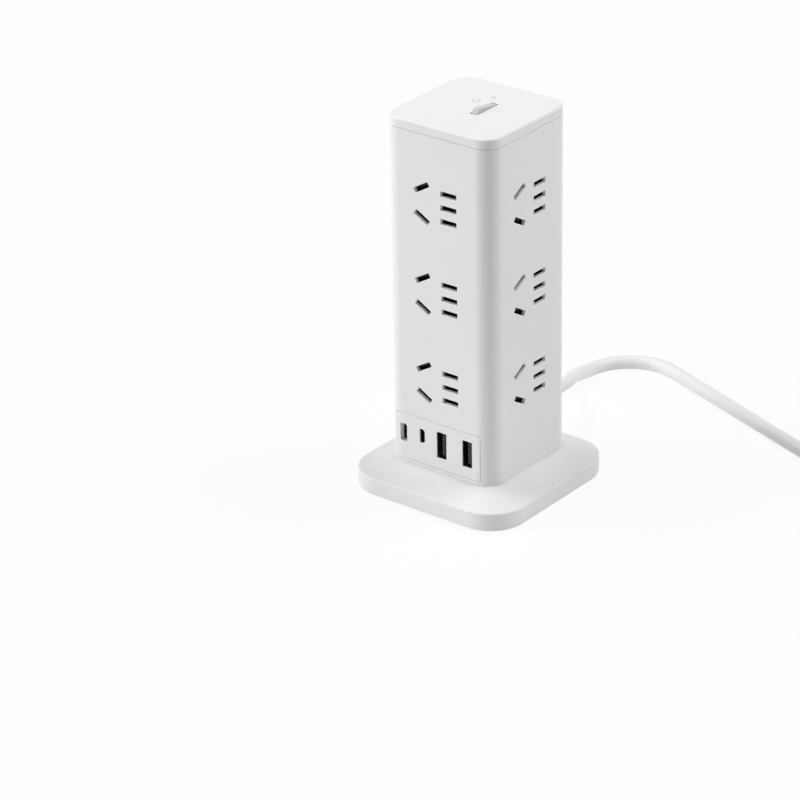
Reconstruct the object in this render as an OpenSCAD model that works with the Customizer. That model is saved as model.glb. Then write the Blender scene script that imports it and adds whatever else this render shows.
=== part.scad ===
// Square tower power strip: three socket faces, a USB panel, a rocker on the cap and a wide foot.
// Millimetres. The tower stands on its feet at z = 0, the USB face looks along -Y,
// and the cord leaves along +Y. Its width and height follow from the sockets that it holds.

/* [Tower] */
// Room between two neighbouring socket carriers in the tower's corners
tower_room = 0.2; // [0.1:0.1:5]
// Radius of the tower's upright corners
tower_corner_r = 8.4; // [7:0.1:9.5]
// Wall thickness of the tower shells
wall = 2.5; // [2.3:0.1:2.8]
// Room between the USB panel and the lowest sockets' carriers
socket_room = 0.35; // [0.2:0.05:6]
// Room between the socket carriers and the cap's skirt
cap_room = 0.9; // [0.5:0.1:12]

/* [Base] */
// How far the base stands out past the tower on each side
base_margin = 14.6; // [13:0.1:20]
// Radius of the base's upright corners
base_corner_r = 17.3; // [15:0.1:20]
// Height of the base's upright side
base_side_h = 8.2; // [7.5:0.1:10]
// Rise of the base's sloping top, from its side to the tower
base_rise = 4.9; // [4.5:0.1:7]
// How far the rubber feet stand out of the base
foot_h = 0.8; // [0.6:0.1:2]

/* [Cap] */
// Height of the cap's side
cap_h = 4.7; // [4.5:0.1:6]
// Radius of the cap's upper edge
cap_edge_r = 0.8; // [0.4:0.1:1.2]

/* [Sockets] */
// Height of the rib between two shutters, which sets the sockets apart
rib_h = 2.6; // [2:0.1:8]
// Length of a pin slot
slot_l = 8.3; // [7.6:0.1:8.6]
// Width of a pin slot
slot_w = 2.4; // [2:0.1:2.5]
// Tilt of the live and neutral slots of the three-pin pattern
slot_tilt = 30; // [28:1:32]
// Distance between the live and neutral slots of the three-pin pattern
live_pitch = 13.72; // [13.5:0.02:13.9]
// Distance between the two flat slots
flat_pitch = 12.7; // [12.5:0.1:12.9]
// Distance from the tilted slots' column to the flat slots' column
column_pitch = 14.26; // [14:0.02:14.5]
// How far a shutter slides to open its slots
shutter_travel = 3.3; // [3:0.1:3.6]

/* [Rocker switch] */
// Width of the rocker
rocker_w = 3.2; // [2.8:0.1:4]
// Length of the rocker's flat top
rocker_l = 12; // [11:0.5:13]
// Tilt of the rocker at rest, and as much the other way when pressed
rocker_tilt = 8.5; // [6:0.5:9]

/* [USB panel] */
// Distance from the tower's sides to the panel's
panel_margin = 5.4; // [5:0.1:6]
// Height of the panel
panel_h = 22.1; // [21.5:0.1:24]
// Distance between the two large ports
port_a_pitch = 14; // [13.5:0.1:15]

/* [Cord] */
// Diameter of the supply cord's sheath
cord_d = 6.4; // [6:0.1:6.6]
// Length of the strain relief outside the tower
relief_l = 20.8; // [20:0.1:24]

/* [Hidden] */
FACES = ["front", "right", "left"];
FACE_TURNS = [0, 90, -90];
ROWS = 3;
POLES = ["neutral_bar", "live_bar", "earth_bar"];

$fn = 64;
over = 1;
hull_fn = 32;
big = 400;
// Gap between flat faces that lie against each other, and round a pin or stake in its hole
flat_gap = 0.1;
running_gap = 0.05;

// Places of the slots on a face: u to the right, v upwards from the socket's centre
tilted_u = -7.9;
flat_u = tilted_u + column_pitch;
// Each row is u, v, tilt, and the pole that its contact belongs to
SLOTS = [
    [tilted_u, live_pitch / 2, slot_tilt, 0],
    [flat_u, flat_pitch / 2, 0, 0],
    [tilted_u, -live_pitch / 2, -slot_tilt, 1],
    [flat_u, -flat_pitch / 2, 0, 1],
    [flat_u, 0, 0, 2]];

// Depths behind a face's outer plane
shutter_t = 1.8;
channel_t = shutter_t + 2 * flat_gap;
carrier_t = 4.5;
shutter_d = wall + flat_gap;
carrier_d = wall + channel_t;
carrier_back_d = carrier_d + carrier_t;

// Shutter
window_side = 0.15;
window_end = 0.4;
window_w = slot_w + 2 * window_side;
window_l = slot_l + 2 * window_end;
shutter_edge = 3.35;
shutter_end = 5.34;
shutter_head = 4.64;
shutter_half_w = window_l / 2 + shutter_edge - tilted_u;
shutter_below = live_pitch / 2 + shutter_travel + shutter_end;
shutter_above = live_pitch / 2 + shutter_head;
tab_w = 3.8;
tab_h = 3;
tab_past = 1.7;
tab_d = carrier_d + tab_past;
peg_r = 1;
peg_h = 3;
pocket_gap = 0.3;

// Spring
spring_r = 1.5;
spring_wire_r = 0.2;
spring_turns = 5;
spring_rings = 8;
spring_sides = 5;
spring_centre_d = carrier_d;

// Screws that hold a carrier to its shell, beside the spring in the chamber above a shutter
carrier_screw_u = 10.4;
carrier_boss_r = 2.5;
carrier_boss_l = 4.5;
carrier_boss_end_d = wall + carrier_boss_l;
carrier_boss_gap = 0.15;
boss_room = 2.3;
boss_edge = 1.9;
screw_r = 1.05;
pilot_r = screw_r + running_gap;
screw_head_r = 2.2;
screw_head_t = 1.6;
screw_clear_r = 1.3;

// Carrier: each shutter slides in a chamber between two ribs
rail_w = 3.5;
rail_gap = 0.2;
rail_in = shutter_half_w + rail_gap;
carrier_half_w = rail_in + rail_w;
edge_rib_h = 1.2;
chamber_below = shutter_below + flat_gap;
chamber_above = shutter_above + shutter_travel + boss_room + 2 * carrier_boss_r + boss_edge;
carrier_screw_v = chamber_above - boss_edge - carrier_boss_r;
chamber_h = chamber_below + chamber_above;
socket_pitch = chamber_h + rib_h;
carrier_slot_side = 0.3;
carrier_slot_l = slot_l + 2 * carrier_slot_side;
carrier_slot_w = slot_w + 2 * carrier_slot_side;
spring_h = chamber_above - shutter_above;

// Contact bars: a plate with a spine, a branch to each pin and two leaves behind each pin
bar_t = 0.6;
bar_layer = 1.6;
leaf_t = 0.5;
leaf_l = 7;
leaf_root = 1.5;
leaf_waist = 0.72;
leaf_waist_share = 0.65;
leaf_mouth = 1.3;
leaf_reach = 7.2;
contact_end_d = carrier_back_d + leaf_reach;
bar_window_end = 0.2;
bar_window_w = 2 * leaf_root;
bar_window_l = slot_l + 2 * bar_window_end;
// Each pole's spine runs past its own side of the slots: left, between the columns, right
left_spine_gap = 2.15;
mid_spine_shift = 0.83;
right_spine_gap = 1.59;
spine_u = [
    tilted_u - bar_window_l / 2 - left_spine_gap,
    (tilted_u + flat_u) / 2 - mid_spine_shift,
    flat_u + bar_window_l / 2 + right_spine_gap];
spine_half_w = [1.2, 1.2, 1.1];
spine_top_reach = 12;
stake_r = 0.9;
stake_hole_r = stake_r + running_gap;
stake_h = 1.2;
stake_pad_r = 1.7;
stake_rise = 2;
stake_v = chamber_above + stake_rise;
pad_edge = 1.1;
branch_in = 2.3;

// Tower and the heights of the main parts
tower_w = 2 * (carrier_half_w + carrier_back_d + tower_room);
inner_w = tower_w - 2 * wall;
inner_corner_r = tower_corner_r - wall;
base_plate_t = 1;
base_bottom_z = foot_h + base_plate_t;
base_side_top_z = foot_h + base_side_h;
shell_bottom_z = base_side_top_z + base_rise;
panel_foot = 1.45;
panel_v = shell_bottom_z + panel_foot + panel_h / 2;
flange_over = 1.4;
panel_top_z = panel_v + panel_h / 2;
flange_top_z = panel_top_z + flange_over;
carrier_bottom_z = flange_top_z + socket_room;
lowest_socket_z = carrier_bottom_z + edge_rib_h + chamber_below;
carrier_h = (ROWS - 1) * socket_pitch + chamber_h + 2 * edge_rib_h;
skirt_h = 5;
shell_top_z = carrier_bottom_z + carrier_h + cap_room + skirt_h;
total_h = shell_top_z + cap_h;
shell_h = shell_top_z - shell_bottom_z;
seam_gap = 0.1;
seam_lip_t = 1.2;
seam_lip_reach = 4;
seam_lip_gap = 0.15;
seam_lip_end = 8;
seam_lip_from_z = flange_top_z + seam_lip_t;
seam_lip_h = shell_top_z - seam_lip_end - seam_lip_from_z;

// Base cover, its spigot and the screws that hold the tower on it
base_w = tower_w + 2 * base_margin;
base_wall = 2.5;
base_inner_w = base_w - 2 * base_wall;
base_inner_r = base_corner_r - base_wall;
rim_cavity_h = base_side_top_z - base_wall - base_bottom_z;
deep_z = shell_bottom_z - base_wall;
edge_soft = 0.8;
rim_rings = 3;
slope_rings = 7;
corner_steps = 8;
slope_bend = 1.35;
foot_land = 0.3;
spigot_t = 2;
spigot_h = 6;
spigot_gap = 0.15;
spigot_notch = 21;
corner_boss_r = 3;
corner_boss_h = 11;
screw_in_corner = 6.1;
screw_in_side = 5.1;
right_screw_y = 14;
left_screw_y = -8;
// Places of the four screws that hold the tower on its base
TOWER_SCREWS = [
    [tower_w / 2 - screw_in_corner, -(tower_w / 2 - screw_in_corner)],
    [tower_w / 2 - screw_in_side, right_screw_y],
    [-(tower_w / 2 - screw_in_corner), tower_w / 2 - screw_in_corner],
    [-(tower_w / 2 - screw_in_side), left_screw_y]];
tower_screw_l = 9;
big_screw_r = 1.4;
big_pilot_r = big_screw_r + running_gap;
big_clear_r = 1.7;
big_head_r = 2.4;
big_head_t = 2;

// Base plate, feet and weight
base_screw_in = 11.2;
base_screw_at = base_w / 2 - base_screw_in;
base_screw_short = 1.7;
base_screw_grip = rim_cavity_h - base_screw_short;
base_head_sunk = 0.2;
base_head_t = foot_h - base_head_sunk;
base_boss_r = 3.4;
plate_inset = 0.35;
plate_lip_t = 1.5;
plate_lip_gap = 0.15;
foot_r = 6.5;
foot_in = 19;
foot_at = base_w / 2 - foot_in;
foot_sunk = 0.5;
weight_gap = 0.2;
weight_w = inner_w - 2 * weight_gap;
weight_t = 3;
weight_r = 4;
weight_post_r = 4;
weight_post_at = weight_w / 2 - weight_post_r;
weight_post_h = 1;

// USB panel and its ports
panel_u = -0.9;
panel_w = tower_w - 2 * panel_margin;
panel_corner_r = 1.5;
panel_gap = 0.15;
panel_t = 2.2;
flange_inset = 0.3;
flange_half_w = tower_w / 2 - tower_corner_r - flange_inset;
flange_t = 1.5;
port_a_in = 14.2;
port_a_rise = 0.7;
port_a_u = panel_u + panel_w / 2 - port_a_in;
port_a_v = panel_v + port_a_rise;
port_a_l = 13.2;
port_a_w = 5.8;
port_wall = 0.35;
port_depth = 13.5;
port_a_recess = 0.5;
tongue_w = 1.9;
port_c_in = 4.5;
port_c_rise = 1.4;
port_c_u = panel_u - panel_w / 2 + port_c_in;
port_c_v = panel_v + port_c_rise;
port_c_l = 9.1;
port_c_w = 4.2;
port_c_r = 1.35;
port_m_step = 10.3;
port_m_rise = 2.4;
port_m_u = port_c_u + port_m_step;
port_m_v = panel_v + port_m_rise;
port_m_l = 7.3;
port_m_w = 3.3;
port_m_chamfer = 0.9;
thin_tongue_w = 0.7;

// USB board, staked on two posts of the panel, and what it carries
board_t = 1.6;
board_d = port_depth + port_a_recess;
board_side = 0.7;
board_w = panel_w + 2 * board_side;
board_room = 0.3;
board_rise = 0.55;
board_bottom_v = shell_bottom_z + spigot_h + board_room;
board_top_v = panel_top_z + board_rise;
board_mid_v = (board_bottom_v + board_top_v) / 2;
board_post_r = 1.8;
low_post_in = 2.3;
high_post_in = 3;
// Places of the two posts: u and v
BOARD_POSTS = [
    [(port_c_u + port_m_u) / 2, board_bottom_v + low_post_in],
    [port_a_u, board_top_v - high_post_in]];
transformer_w = 14;
transformer_h = 15;
transformer_t = 12;
transformer_step = 3.4;
transformer_u = port_m_u + transformer_step;
coil_former_w = 9;
capacitor_r = 4;
capacitor_l = 13;
capacitor_step = 10;
capacitor_shift = 0.2;
capacitor_u = [port_a_u - capacitor_shift, port_a_u - capacitor_shift + capacitor_step];

// Cap, rocker and switch
cap_plate_t = 2.2;
cap_gap = 0.3;
skirt_t = 1.5;
skirt_gap = 0.15;
skirt_in_w = inner_w - 2 * (skirt_gap + skirt_t);
skirt_in_r = inner_corner_r - skirt_gap - skirt_t;
rocker_x = 3.4;
rocker_y = 0.9;
pivot_drop = 3.6;
pivot_z = total_h - pivot_drop;
rocker_rise = 1.1;
rocker_top = pivot_drop + rocker_rise;
rocker_end_r = sqrt(pow(rocker_l / 2, 2) + pow(rocker_top, 2));
rocker_below = 1.5;
swing_gap = 0.3;
rocker_swing = rocker_end_r * sin(rocker_tilt) + swing_gap;
rocker_gap = 0.25;
cap_lip_t = 1;
pocket_x = 11;
pocket_y = 20;
pin_r = 0.8;
pin_hole_r = pin_r + running_gap;
pin_l = 1.4;
ear_t = 1.6;
ear_gap = 0.15;
ear_y = 5;
leg_half = 1;
leg_l = 5;
leg_slot_half = 2.3;
switch_x = 12;
switch_y = 20;
switch_h = 14;
switch_top_z = pivot_z - rocker_below - rocker_swing;
wing_t = 2;
wing_y = 33;
wing_hole_y = 13.5;
post_r = 2.6;
terminal_w = 6.3;
terminal_t = 0.8;
terminal_h = 8;
lamp_x = -1.5;
lamp_y = 13.7;
pipe_r = 1.1;
pipe_flange_r = 1.7;
pipe_flange_t = 0.6;
lamp_r = 1.5;

// Cord gland, clamp and cord
gland_rise = 6.7;
gland_z = shell_bottom_z + gland_rise;
gland_r = 6.2;
gland_flange_t = 1.5;
gland_neck_r = 4.8;
gland_hole_r = gland_neck_r + running_gap;
relief_root_r = 4.9;
relief_tip_r = 3.9;
relief_grooves = 5;
groove_l = 1.4;
groove_deep = 0.7;
sheath_r = cord_d / 2;
sheath_in_l = 12;
shelf_t = 2.4;
shelf_l = 14;
shelf_half_w = 12;
clamp_l = 5;
clamp_top = 3;
clamp_from = 6;
clamp_screw_x = 8;
core_r = 1.2;
core_l = 12;

cord_sides = 10;
coil_sides = 6;
coil_rings = 24;
coil_gap = 0.5;
coil_pitch = cord_d + coil_gap;
coil_r = 48;
coil_turns = 6.555;
coil_lift = 0.7;
cord_heading = -20;
climb_share = 0.5;
tail_l = 26;
tail_rings = 5;
tail_fall_share = 0.65;
plug_axis_z = 7.5;
// The supply cord's own route from the strain relief to the coil, laid on the floor behind the tower
CORD_ROUTE = [
    [-0.4, 63, 20.3], [-1.8, 69, 19.3], [-4.2, 75, 17.6], [-7.6, 81, 15.2], [-11.8, 87, 12.1],
    [-15.3, 93, 9], [-17.9, 99, 6.5], [-19.4, 105, 4.7], [-20, 111.5, 3.5], [-18.8, 119.1, 3.2],
    [-15.3, 125.9, 3.2], [-9.9, 131.3, 3.2], [-3.1, 134.8, 3.2], [4.5, 136, 3.2], [12.1, 134.8, 3.2],
    [26, 129.8, 3.2], [40, 124.7, 3.2], [54, 119.6, 3.2], [68, 114.5, 3.2], [82, 109.4, 3.2],
    [96, 104.3, 3.2], [110, 99.2, 3.2]];
COIL_ENTRY = [129.7, 92];

// Plug
plug_l = 36;
plug_w = 34;
plug_nose_w = 26;
plug_t = 2 * plug_axis_z;
plug_round = 4;
plug_crown = 1.6;
plug_relief_l = 20;
plug_relief_r = 5.9;
plug_waist_share = 0.45;
pin_l_live = 18;
pin_l_earth = 20;
pin_w = 6.35;
pin_t = 1.5;
live_row_at = 10.5;

// A point's unit direction, and the directions along a list of points
function unit(v) = v / norm(v);
function along(p) = [for (i = [0:len(p) - 1]) unit(p[min(i + 1, len(p) - 1)] - p[max(i - 1, 0)])];
function smooth(t) = t <= 0 ? 0 : t >= 1 ? 1 : t * t * (3 - 2 * t);

// One closed tube of n sides swept along points p; ref is a direction the path never runs along
function tube_points(p, r, n, ref) = let (t = along(p)) [
    for (i = [0:len(p) - 1])
        let (s = unit(cross(t[i], ref)), u = cross(s, t[i]))
            for (k = [0:n - 1])
                p[i] + r * (sin(180 * (2 * k + 1) / n) * s - cos(180 * (2 * k + 1) / n) * u)];
function tube_faces(m, n) = concat(
    [for (i = [0:m - 2], k = [0:n - 1]) [i * n + k, (i + 1) * n + k, (i + 1) * n + (k + 1) % n]],
    [for (i = [0:m - 2], k = [0:n - 1]) [i * n + k, (i + 1) * n + (k + 1) % n, i * n + (k + 1) % n]],
    [for (k = [1:n - 2]) [0, k, k + 1]],
    [for (k = [1:n - 2]) [(m - 1) * n, (m - 1) * n + k + 1, (m - 1) * n + k]]);
module tube(p, r, n, ref) {
    polyhedron(points = tube_points(p, r, n, ref), faces = tube_faces(len(p), n));
}

// A square with true round corners
module round_square(w, r, h = 0) {
    d = h == 0 ? w : h;
    square([w, d - 2 * r], center = true);
    square([w - 2 * r, d], center = true);
    for (sx = [-1, 1], sy = [-1, 1]) {
        translate([sx * (w / 2 - r), sy * (d / 2 - r)]) circle(r);
    }
}
module round_block(w, r, h) {
    linear_extrude(h) round_square(w, r);
}

// A face's own frame: x to the right, y into the tower from the outer plane, z up
module on_face(turn) {
    rotate([0, 0, turn]) translate([0, -tower_w / 2, 0]) children();
}
function socket_z(row) = lowest_socket_z + (row - 1) * socket_pitch;

// A bar through a face, tilted in the face's plane, from depth d0 to d1
module slot_bar(u, v, tilt, l, w, d0, d1) {
    translate([u, d0, v]) rotate([0, -tilt, 0]) translate([-l / 2, 0, -w / 2]) cube([l, d1 - d0, w]);
}
module socket_slots(l, w, d0, d1) {
    for (s = SLOTS) {
        slot_bar(s[0], s[1], s[2], l, w, d0, d1);
    }
}
module tower_ring(h) {
    difference() {
        round_block(tower_w, tower_corner_r, h);
        translate([0, 0, -over]) round_block(inner_w, inner_corner_r, h + 2 * over);
    }
}
// Half of space on one side of the upright plane through the two seam corners
module seam_half(side, gap) {
    rotate([0, 0, 45]) translate([-big / 2, side < 0 ? -big - gap : gap, 0]) cube([big, big, big]);
}
module carrier_screw_places() {
    for (row = [1, ROWS], s = [-1, 1]) {
        translate([s * carrier_screw_u, 0, socket_z(row) + carrier_screw_v]) rotate([-90, 0, 0]) children();
    }
}
module face_bosses(turn) {
    on_face(turn) carrier_screw_places() translate([0, 0, wall - flat_gap])
        cylinder(r = carrier_boss_r, h = carrier_boss_end_d - wall + flat_gap);
}
module face_cuts(turn) {
    on_face(turn) {
        for (row = [1:ROWS]) {
            translate([0, 0, socket_z(row)]) socket_slots(slot_l, slot_w, -over, wall + over);
        }
        carrier_screw_places() translate([0, 0, wall + flat_gap])
            cylinder(r = pilot_r, h = carrier_boss_end_d);
    }
}
module tower_boss(i) {
    translate([TOWER_SCREWS[i][0], TOWER_SCREWS[i][1], shell_bottom_z])
        cylinder(r = corner_boss_r, h = corner_boss_h);
}
module tower_pilot(i) {
    translate([TOWER_SCREWS[i][0], TOWER_SCREWS[i][1], shell_bottom_z - over])
        cylinder(r = big_pilot_r, h = corner_boss_h - over);
}
module panel_hole(grow, d0, d1) {
    on_face(0) translate([panel_u, d0, panel_v]) rotate([-90, 0, 0]) linear_extrude(d1 - d0)
        round_square(panel_w + 2 * grow, panel_corner_r + grow, panel_h + 2 * grow);
}

module front_shell() {
    color("white") difference() {
        intersection() {
            union() {
                translate([0, 0, shell_bottom_z]) tower_ring(shell_h);
                face_bosses(0);
                face_bosses(90);
                tower_boss(0);
                tower_boss(1);
            }
            seam_half(-1, seam_gap / 2);
        }
        face_cuts(0);
        face_cuts(90);
        tower_pilot(0);
        tower_pilot(1);
        panel_hole(0, -over, wall + flange_t);
    }
}

// A thin lip inside a seam corner that lines the two shells up
module seam_lips() {
    translate([0, 0, seam_lip_from_z]) {
        intersection() {
            difference() {
                round_block(inner_w - 2 * seam_lip_gap, inner_corner_r - seam_lip_gap, seam_lip_h);
                translate([0, 0, -over]) round_block(inner_w - 2 * (seam_lip_gap + seam_lip_t),
                    inner_corner_r - seam_lip_gap - seam_lip_t, shell_h);
            }
            rotate([0, 0, 45]) translate([-big / 2, -seam_lip_reach, 0]) cube([big, 2 * seam_lip_reach, big]);
            round_corner_zones();
        }
        intersection() {
            difference() {
                round_block(inner_w + wall, inner_corner_r + wall / 2, seam_lip_h);
                translate([0, 0, -over]) round_block(inner_w - 2 * (seam_lip_gap + seam_lip_t),
                    inner_corner_r - seam_lip_gap - seam_lip_t, shell_h);
            }
            rotate([0, 0, 45]) translate([-big / 2, seam_gap / 2, 0])
                cube([big, seam_lip_reach - seam_gap / 2, big]);
            round_corner_zones();
        }
    }
}
module round_corner_zones() {
    for (s = [-1, 1]) {
        translate([s * tower_w / 2, s * tower_w / 2, 0]) rotate([0, 0, 45])
            translate([-tower_corner_r, -tower_corner_r, 0])
                cube([2 * tower_corner_r, 2 * tower_corner_r, big]);
    }
}
module cord_shelf() {
    translate([-shelf_half_w, tower_w / 2 - wall - shelf_l, gland_z - sheath_r - shelf_t])
        cube([2 * shelf_half_w, shelf_l + flat_gap, shelf_t]);
}
module clamp_screw_places() {
    for (s = [-1, 1]) {
        translate([s * clamp_screw_x, tower_w / 2 - wall - clamp_from - clamp_l / 2, 0]) children();
    }
}
module rear_shell() {
    color("white") difference() {
        union() {
            intersection() {
                union() {
                    translate([0, 0, shell_bottom_z]) tower_ring(shell_h);
                    face_bosses(-90);
                    tower_boss(2);
                    tower_boss(3);
                    cord_shelf();
                }
                seam_half(1, seam_gap / 2);
            }
            seam_lips();
        }
        face_cuts(-90);
        tower_pilot(2);
        tower_pilot(3);
        translate([0, tower_w / 2 - wall - over, gland_z]) rotate([-90, 0, 0])
            cylinder(r = gland_hole_r, h = wall + 2 * over);
        translate([0, tower_w / 2 - wall - gland_flange_t - flat_gap, gland_z]) rotate([-90, 0, 0])
            cylinder(r = gland_r + flat_gap, h = gland_flange_t + flat_gap);
        clamp_screw_places() translate([0, 0, gland_z - sheath_r - shelf_t - over])
            cylinder(r = pilot_r, h = shelf_t + 2 * over);
    }
}

// Cap
module soft_profile(reach, h, soft) {
    square([reach, h - soft]);
    square([reach - soft, h]);
    translate([reach - soft, h - soft]) circle(soft);
}
module soft_slab(w, r, h, soft) {
    for (sx = [-1, 1], sy = [-1, 1]) {
        translate([sx * (w / 2 - r), sy * (w / 2 - r), 0]) rotate_extrude() intersection() {
            soft_profile(r, h, soft);
            square([2 * r, 2 * h]);
        }
    }
    for (turn = [0, 90, 180, 270]) {
        rotate([0, 0, turn]) translate([w / 2 - r, w / 2 - r, 0]) rotate([90, 0, 0])
            linear_extrude(w - 2 * r) soft_profile(r, h, soft);
    }
    translate([-(w / 2 - r), -(w / 2 - r), 0]) cube([w - 2 * r, w - 2 * r, h]);
}
module cap_post_places() {
    for (s = [-1, 1]) {
        translate([rocker_x, rocker_y + s * wing_hole_y, 0]) children();
    }
}
module top_cap() {
    color("white") difference() {
        union() {
            difference() {
                translate([0, 0, shell_top_z + cap_gap])
                    soft_slab(tower_w, tower_corner_r, cap_h - cap_gap, cap_edge_r);
                translate([0, 0, shell_top_z - over]) round_block(skirt_in_w, skirt_in_r,
                    cap_h - cap_plate_t + over);
            }
            translate([0, 0, shell_top_z - skirt_h]) difference() {
                round_block(inner_w - 2 * skirt_gap, inner_corner_r - skirt_gap,
                    skirt_h + cap_h - cap_plate_t);
                translate([0, 0, -over]) round_block(skirt_in_w, skirt_in_r, skirt_h + cap_h + over);
            }
            cap_post_places() translate([0, 0, switch_top_z])
                cylinder(r = post_r, h = total_h - cap_lip_t - switch_top_z);
            translate([lamp_x, lamp_y, total_h - cap_plate_t - pipe_flange_t])
                cylinder(r = pipe_flange_r + cap_lip_t, h = cap_plate_t);
        }
        translate([rocker_x - pocket_x / 2, rocker_y - pocket_y / 2, switch_top_z - over])
            cube([pocket_x, pocket_y, total_h - cap_lip_t - switch_top_z + over]);
        translate([rocker_x - rocker_w / 2 - rocker_gap, rocker_y - rocker_end_r - rocker_gap, shell_top_z])
            cube([rocker_w + 2 * rocker_gap, 2 * (rocker_end_r + rocker_gap), cap_h + over]);
        cap_post_places() translate([0, 0, switch_top_z - over])
            cylinder(r = pilot_r, h = 2 * cap_plate_t + over);
        translate([lamp_x, lamp_y, shell_top_z]) cylinder(r = pipe_r + flat_gap / 2, h = cap_h + over);
        translate([lamp_x, lamp_y, shell_top_z])
            cylinder(r = pipe_flange_r + flat_gap / 2, h = cap_h - cap_plate_t);
    }
}
module cap_screws() {
    cap_post_places() translate([0, 0, switch_top_z - wing_t]) {
        translate([0, 0, -screw_head_t]) cylinder(r = screw_head_r, h = screw_head_t);
        cylinder(r = screw_r, h = wing_t + cap_plate_t);
    }
}

// Rocker: a flat-topped paddle whose ends are arcs about its pins, at rest with its front end up
module rocker_profile() {
    intersection() {
        circle(rocker_end_r);
        translate([-rocker_end_r, -rocker_below]) square([2 * rocker_end_r, rocker_below + rocker_top]);
    }
    translate([-leg_half, -leg_l]) square([2 * leg_half, leg_l]);
}
module rocker() {
    color("white") translate([rocker_x, rocker_y, pivot_z]) rotate([-rocker_tilt, 0, 0]) {
        rotate([90, 0, 90]) translate([0, 0, -rocker_w / 2]) linear_extrude(rocker_w) rocker_profile();
        rotate([0, 90, 0]) cylinder(r = pin_r, h = rocker_w + 2 * pin_l, center = true);
    }
}
module switch_body() {
    color("dimgray") difference() {
        translate([rocker_x, rocker_y, switch_top_z]) {
            translate([-switch_x / 2, -switch_y / 2, -switch_h]) cube([switch_x, switch_y, switch_h]);
            translate([-switch_x / 2, -wing_y / 2, -wing_t]) cube([switch_x, wing_y, wing_t]);
            for (s = [-1, 1]) {
                translate([s * (rocker_w / 2 + ear_gap + ear_t / 2) - ear_t / 2, -ear_y / 2, -flat_gap])
                    cube([ear_t, ear_y, pivot_z - switch_top_z + flat_gap]);
                translate([s * (rocker_w / 2 + ear_gap + ear_t / 2) - ear_t / 2, 0, pivot_z - switch_top_z])
                    rotate([0, 90, 0]) cylinder(r = ear_y / 2 - flat_gap, h = ear_t);
            }
        }
        translate([rocker_x, rocker_y, pivot_z]) rotate([0, 90, 0])
            cylinder(r = pin_hole_r, h = 2 * switch_x, center = true);
        translate([rocker_x - rocker_w / 2 - ear_gap, rocker_y - leg_slot_half, pivot_z - leg_l - over])
            cube([rocker_w + 2 * ear_gap, 2 * leg_slot_half, leg_l]);
        translate([rocker_x, rocker_y, switch_top_z - wing_t - over]) for (s = [-1, 1]) {
            translate([0, s * wing_hole_y, 0]) cylinder(r = screw_clear_r, h = wing_t + 2 * over);
        }
    }
}
module switch_terminals() {
    color("gold") for (sx = [-1, 1], sy = [-1, 1]) {
        translate([rocker_x + sx * switch_x / 4, rocker_y + sy * switch_y / 4,
            switch_top_z - switch_h - terminal_h / 2])
                cube([terminal_t, terminal_w, terminal_h], center = true);
    }
}
module light_pipe() {
    color("lightgreen") translate([lamp_x, lamp_y, 0]) {
        translate([0, 0, total_h - cap_plate_t - pipe_flange_t]) {
            cylinder(r = pipe_r, h = cap_plate_t + pipe_flange_t);
            cylinder(r = pipe_flange_r, h = pipe_flange_t);
        }
    }
}
module indicator_lamp() {
    lamp_top_z = total_h - cap_plate_t - pipe_flange_t - flat_gap;
    color("palegreen") translate([lamp_x, lamp_y, switch_top_z]) {
        cylinder(r = lamp_r, h = lamp_top_z - switch_top_z - lamp_r);
        intersection() {
            translate([0, 0, lamp_top_z - switch_top_z - lamp_r]) sphere(lamp_r);
            translate([-lamp_r, -lamp_r, 0]) cube([2 * lamp_r, 2 * lamp_r, lamp_top_z - switch_top_z]);
        }
    }
}

// Carrier: the inner frame behind a face, with a sliding channel for each shutter
module carrier(turn) {
    color("ivory") on_face(turn) difference() {
        union() {
            translate([-carrier_half_w, carrier_d, carrier_bottom_z])
                cube([2 * carrier_half_w, carrier_t, carrier_h]);
            for (s = [-1, 1]) {
                translate([s > 0 ? rail_in : -carrier_half_w, wall, carrier_bottom_z])
                    cube([carrier_half_w - rail_in, channel_t, carrier_h]);
            }
            translate([-rail_in, wall, carrier_bottom_z]) cube([2 * rail_in, channel_t, edge_rib_h]);
            for (row = [1:ROWS]) {
                rib = row == ROWS ? edge_rib_h : rib_h;
                translate([-rail_in, wall, socket_z(row) + chamber_above])
                    cube([2 * rail_in, channel_t, rib]);
                translate([0, spring_centre_d, socket_z(row) + chamber_above - peg_h + flat_gap])
                    cylinder(r = peg_r, h = peg_h);
                translate([0, 0, socket_z(row)]) carrier_pads();
            }
            for (p = [0:2], row = [1:ROWS - 1]) {
                translate([spine_u[p], carrier_back_d - flat_gap, socket_z(row) + stake_v])
                    rotate([-90, 0, 0]) {
                        if (p > 0) cylinder(r = stake_pad_r, h = p * bar_layer + flat_gap);
                        cylinder(r = stake_r, h = p * bar_layer + bar_t + stake_h + flat_gap);
                    }
            }
        }
        for (row = [1:ROWS]) {
            translate([0, 0, socket_z(row)]) {
                socket_slots(carrier_slot_l, carrier_slot_w, wall, contact_end_d);
                difference() {
                    translate([-tab_w / 2 - pocket_gap, wall, shutter_above - tab_h - pocket_gap])
                        cube([tab_w + 2 * pocket_gap, tab_d + pocket_gap - wall,
                            chamber_above - shutter_above + tab_h + pocket_gap]);
                    translate([0, spring_centre_d, chamber_above - peg_h + flat_gap])
                        cylinder(r = peg_r, h = peg_h);
                }
            }
        }
        carrier_screw_places() {
            translate([0, 0, wall]) cylinder(r = carrier_boss_r + carrier_boss_gap,
                h = carrier_boss_end_d - wall + carrier_boss_gap);
            cylinder(r = screw_clear_r, h = carrier_back_d + over);
        }
    }
}
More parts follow.
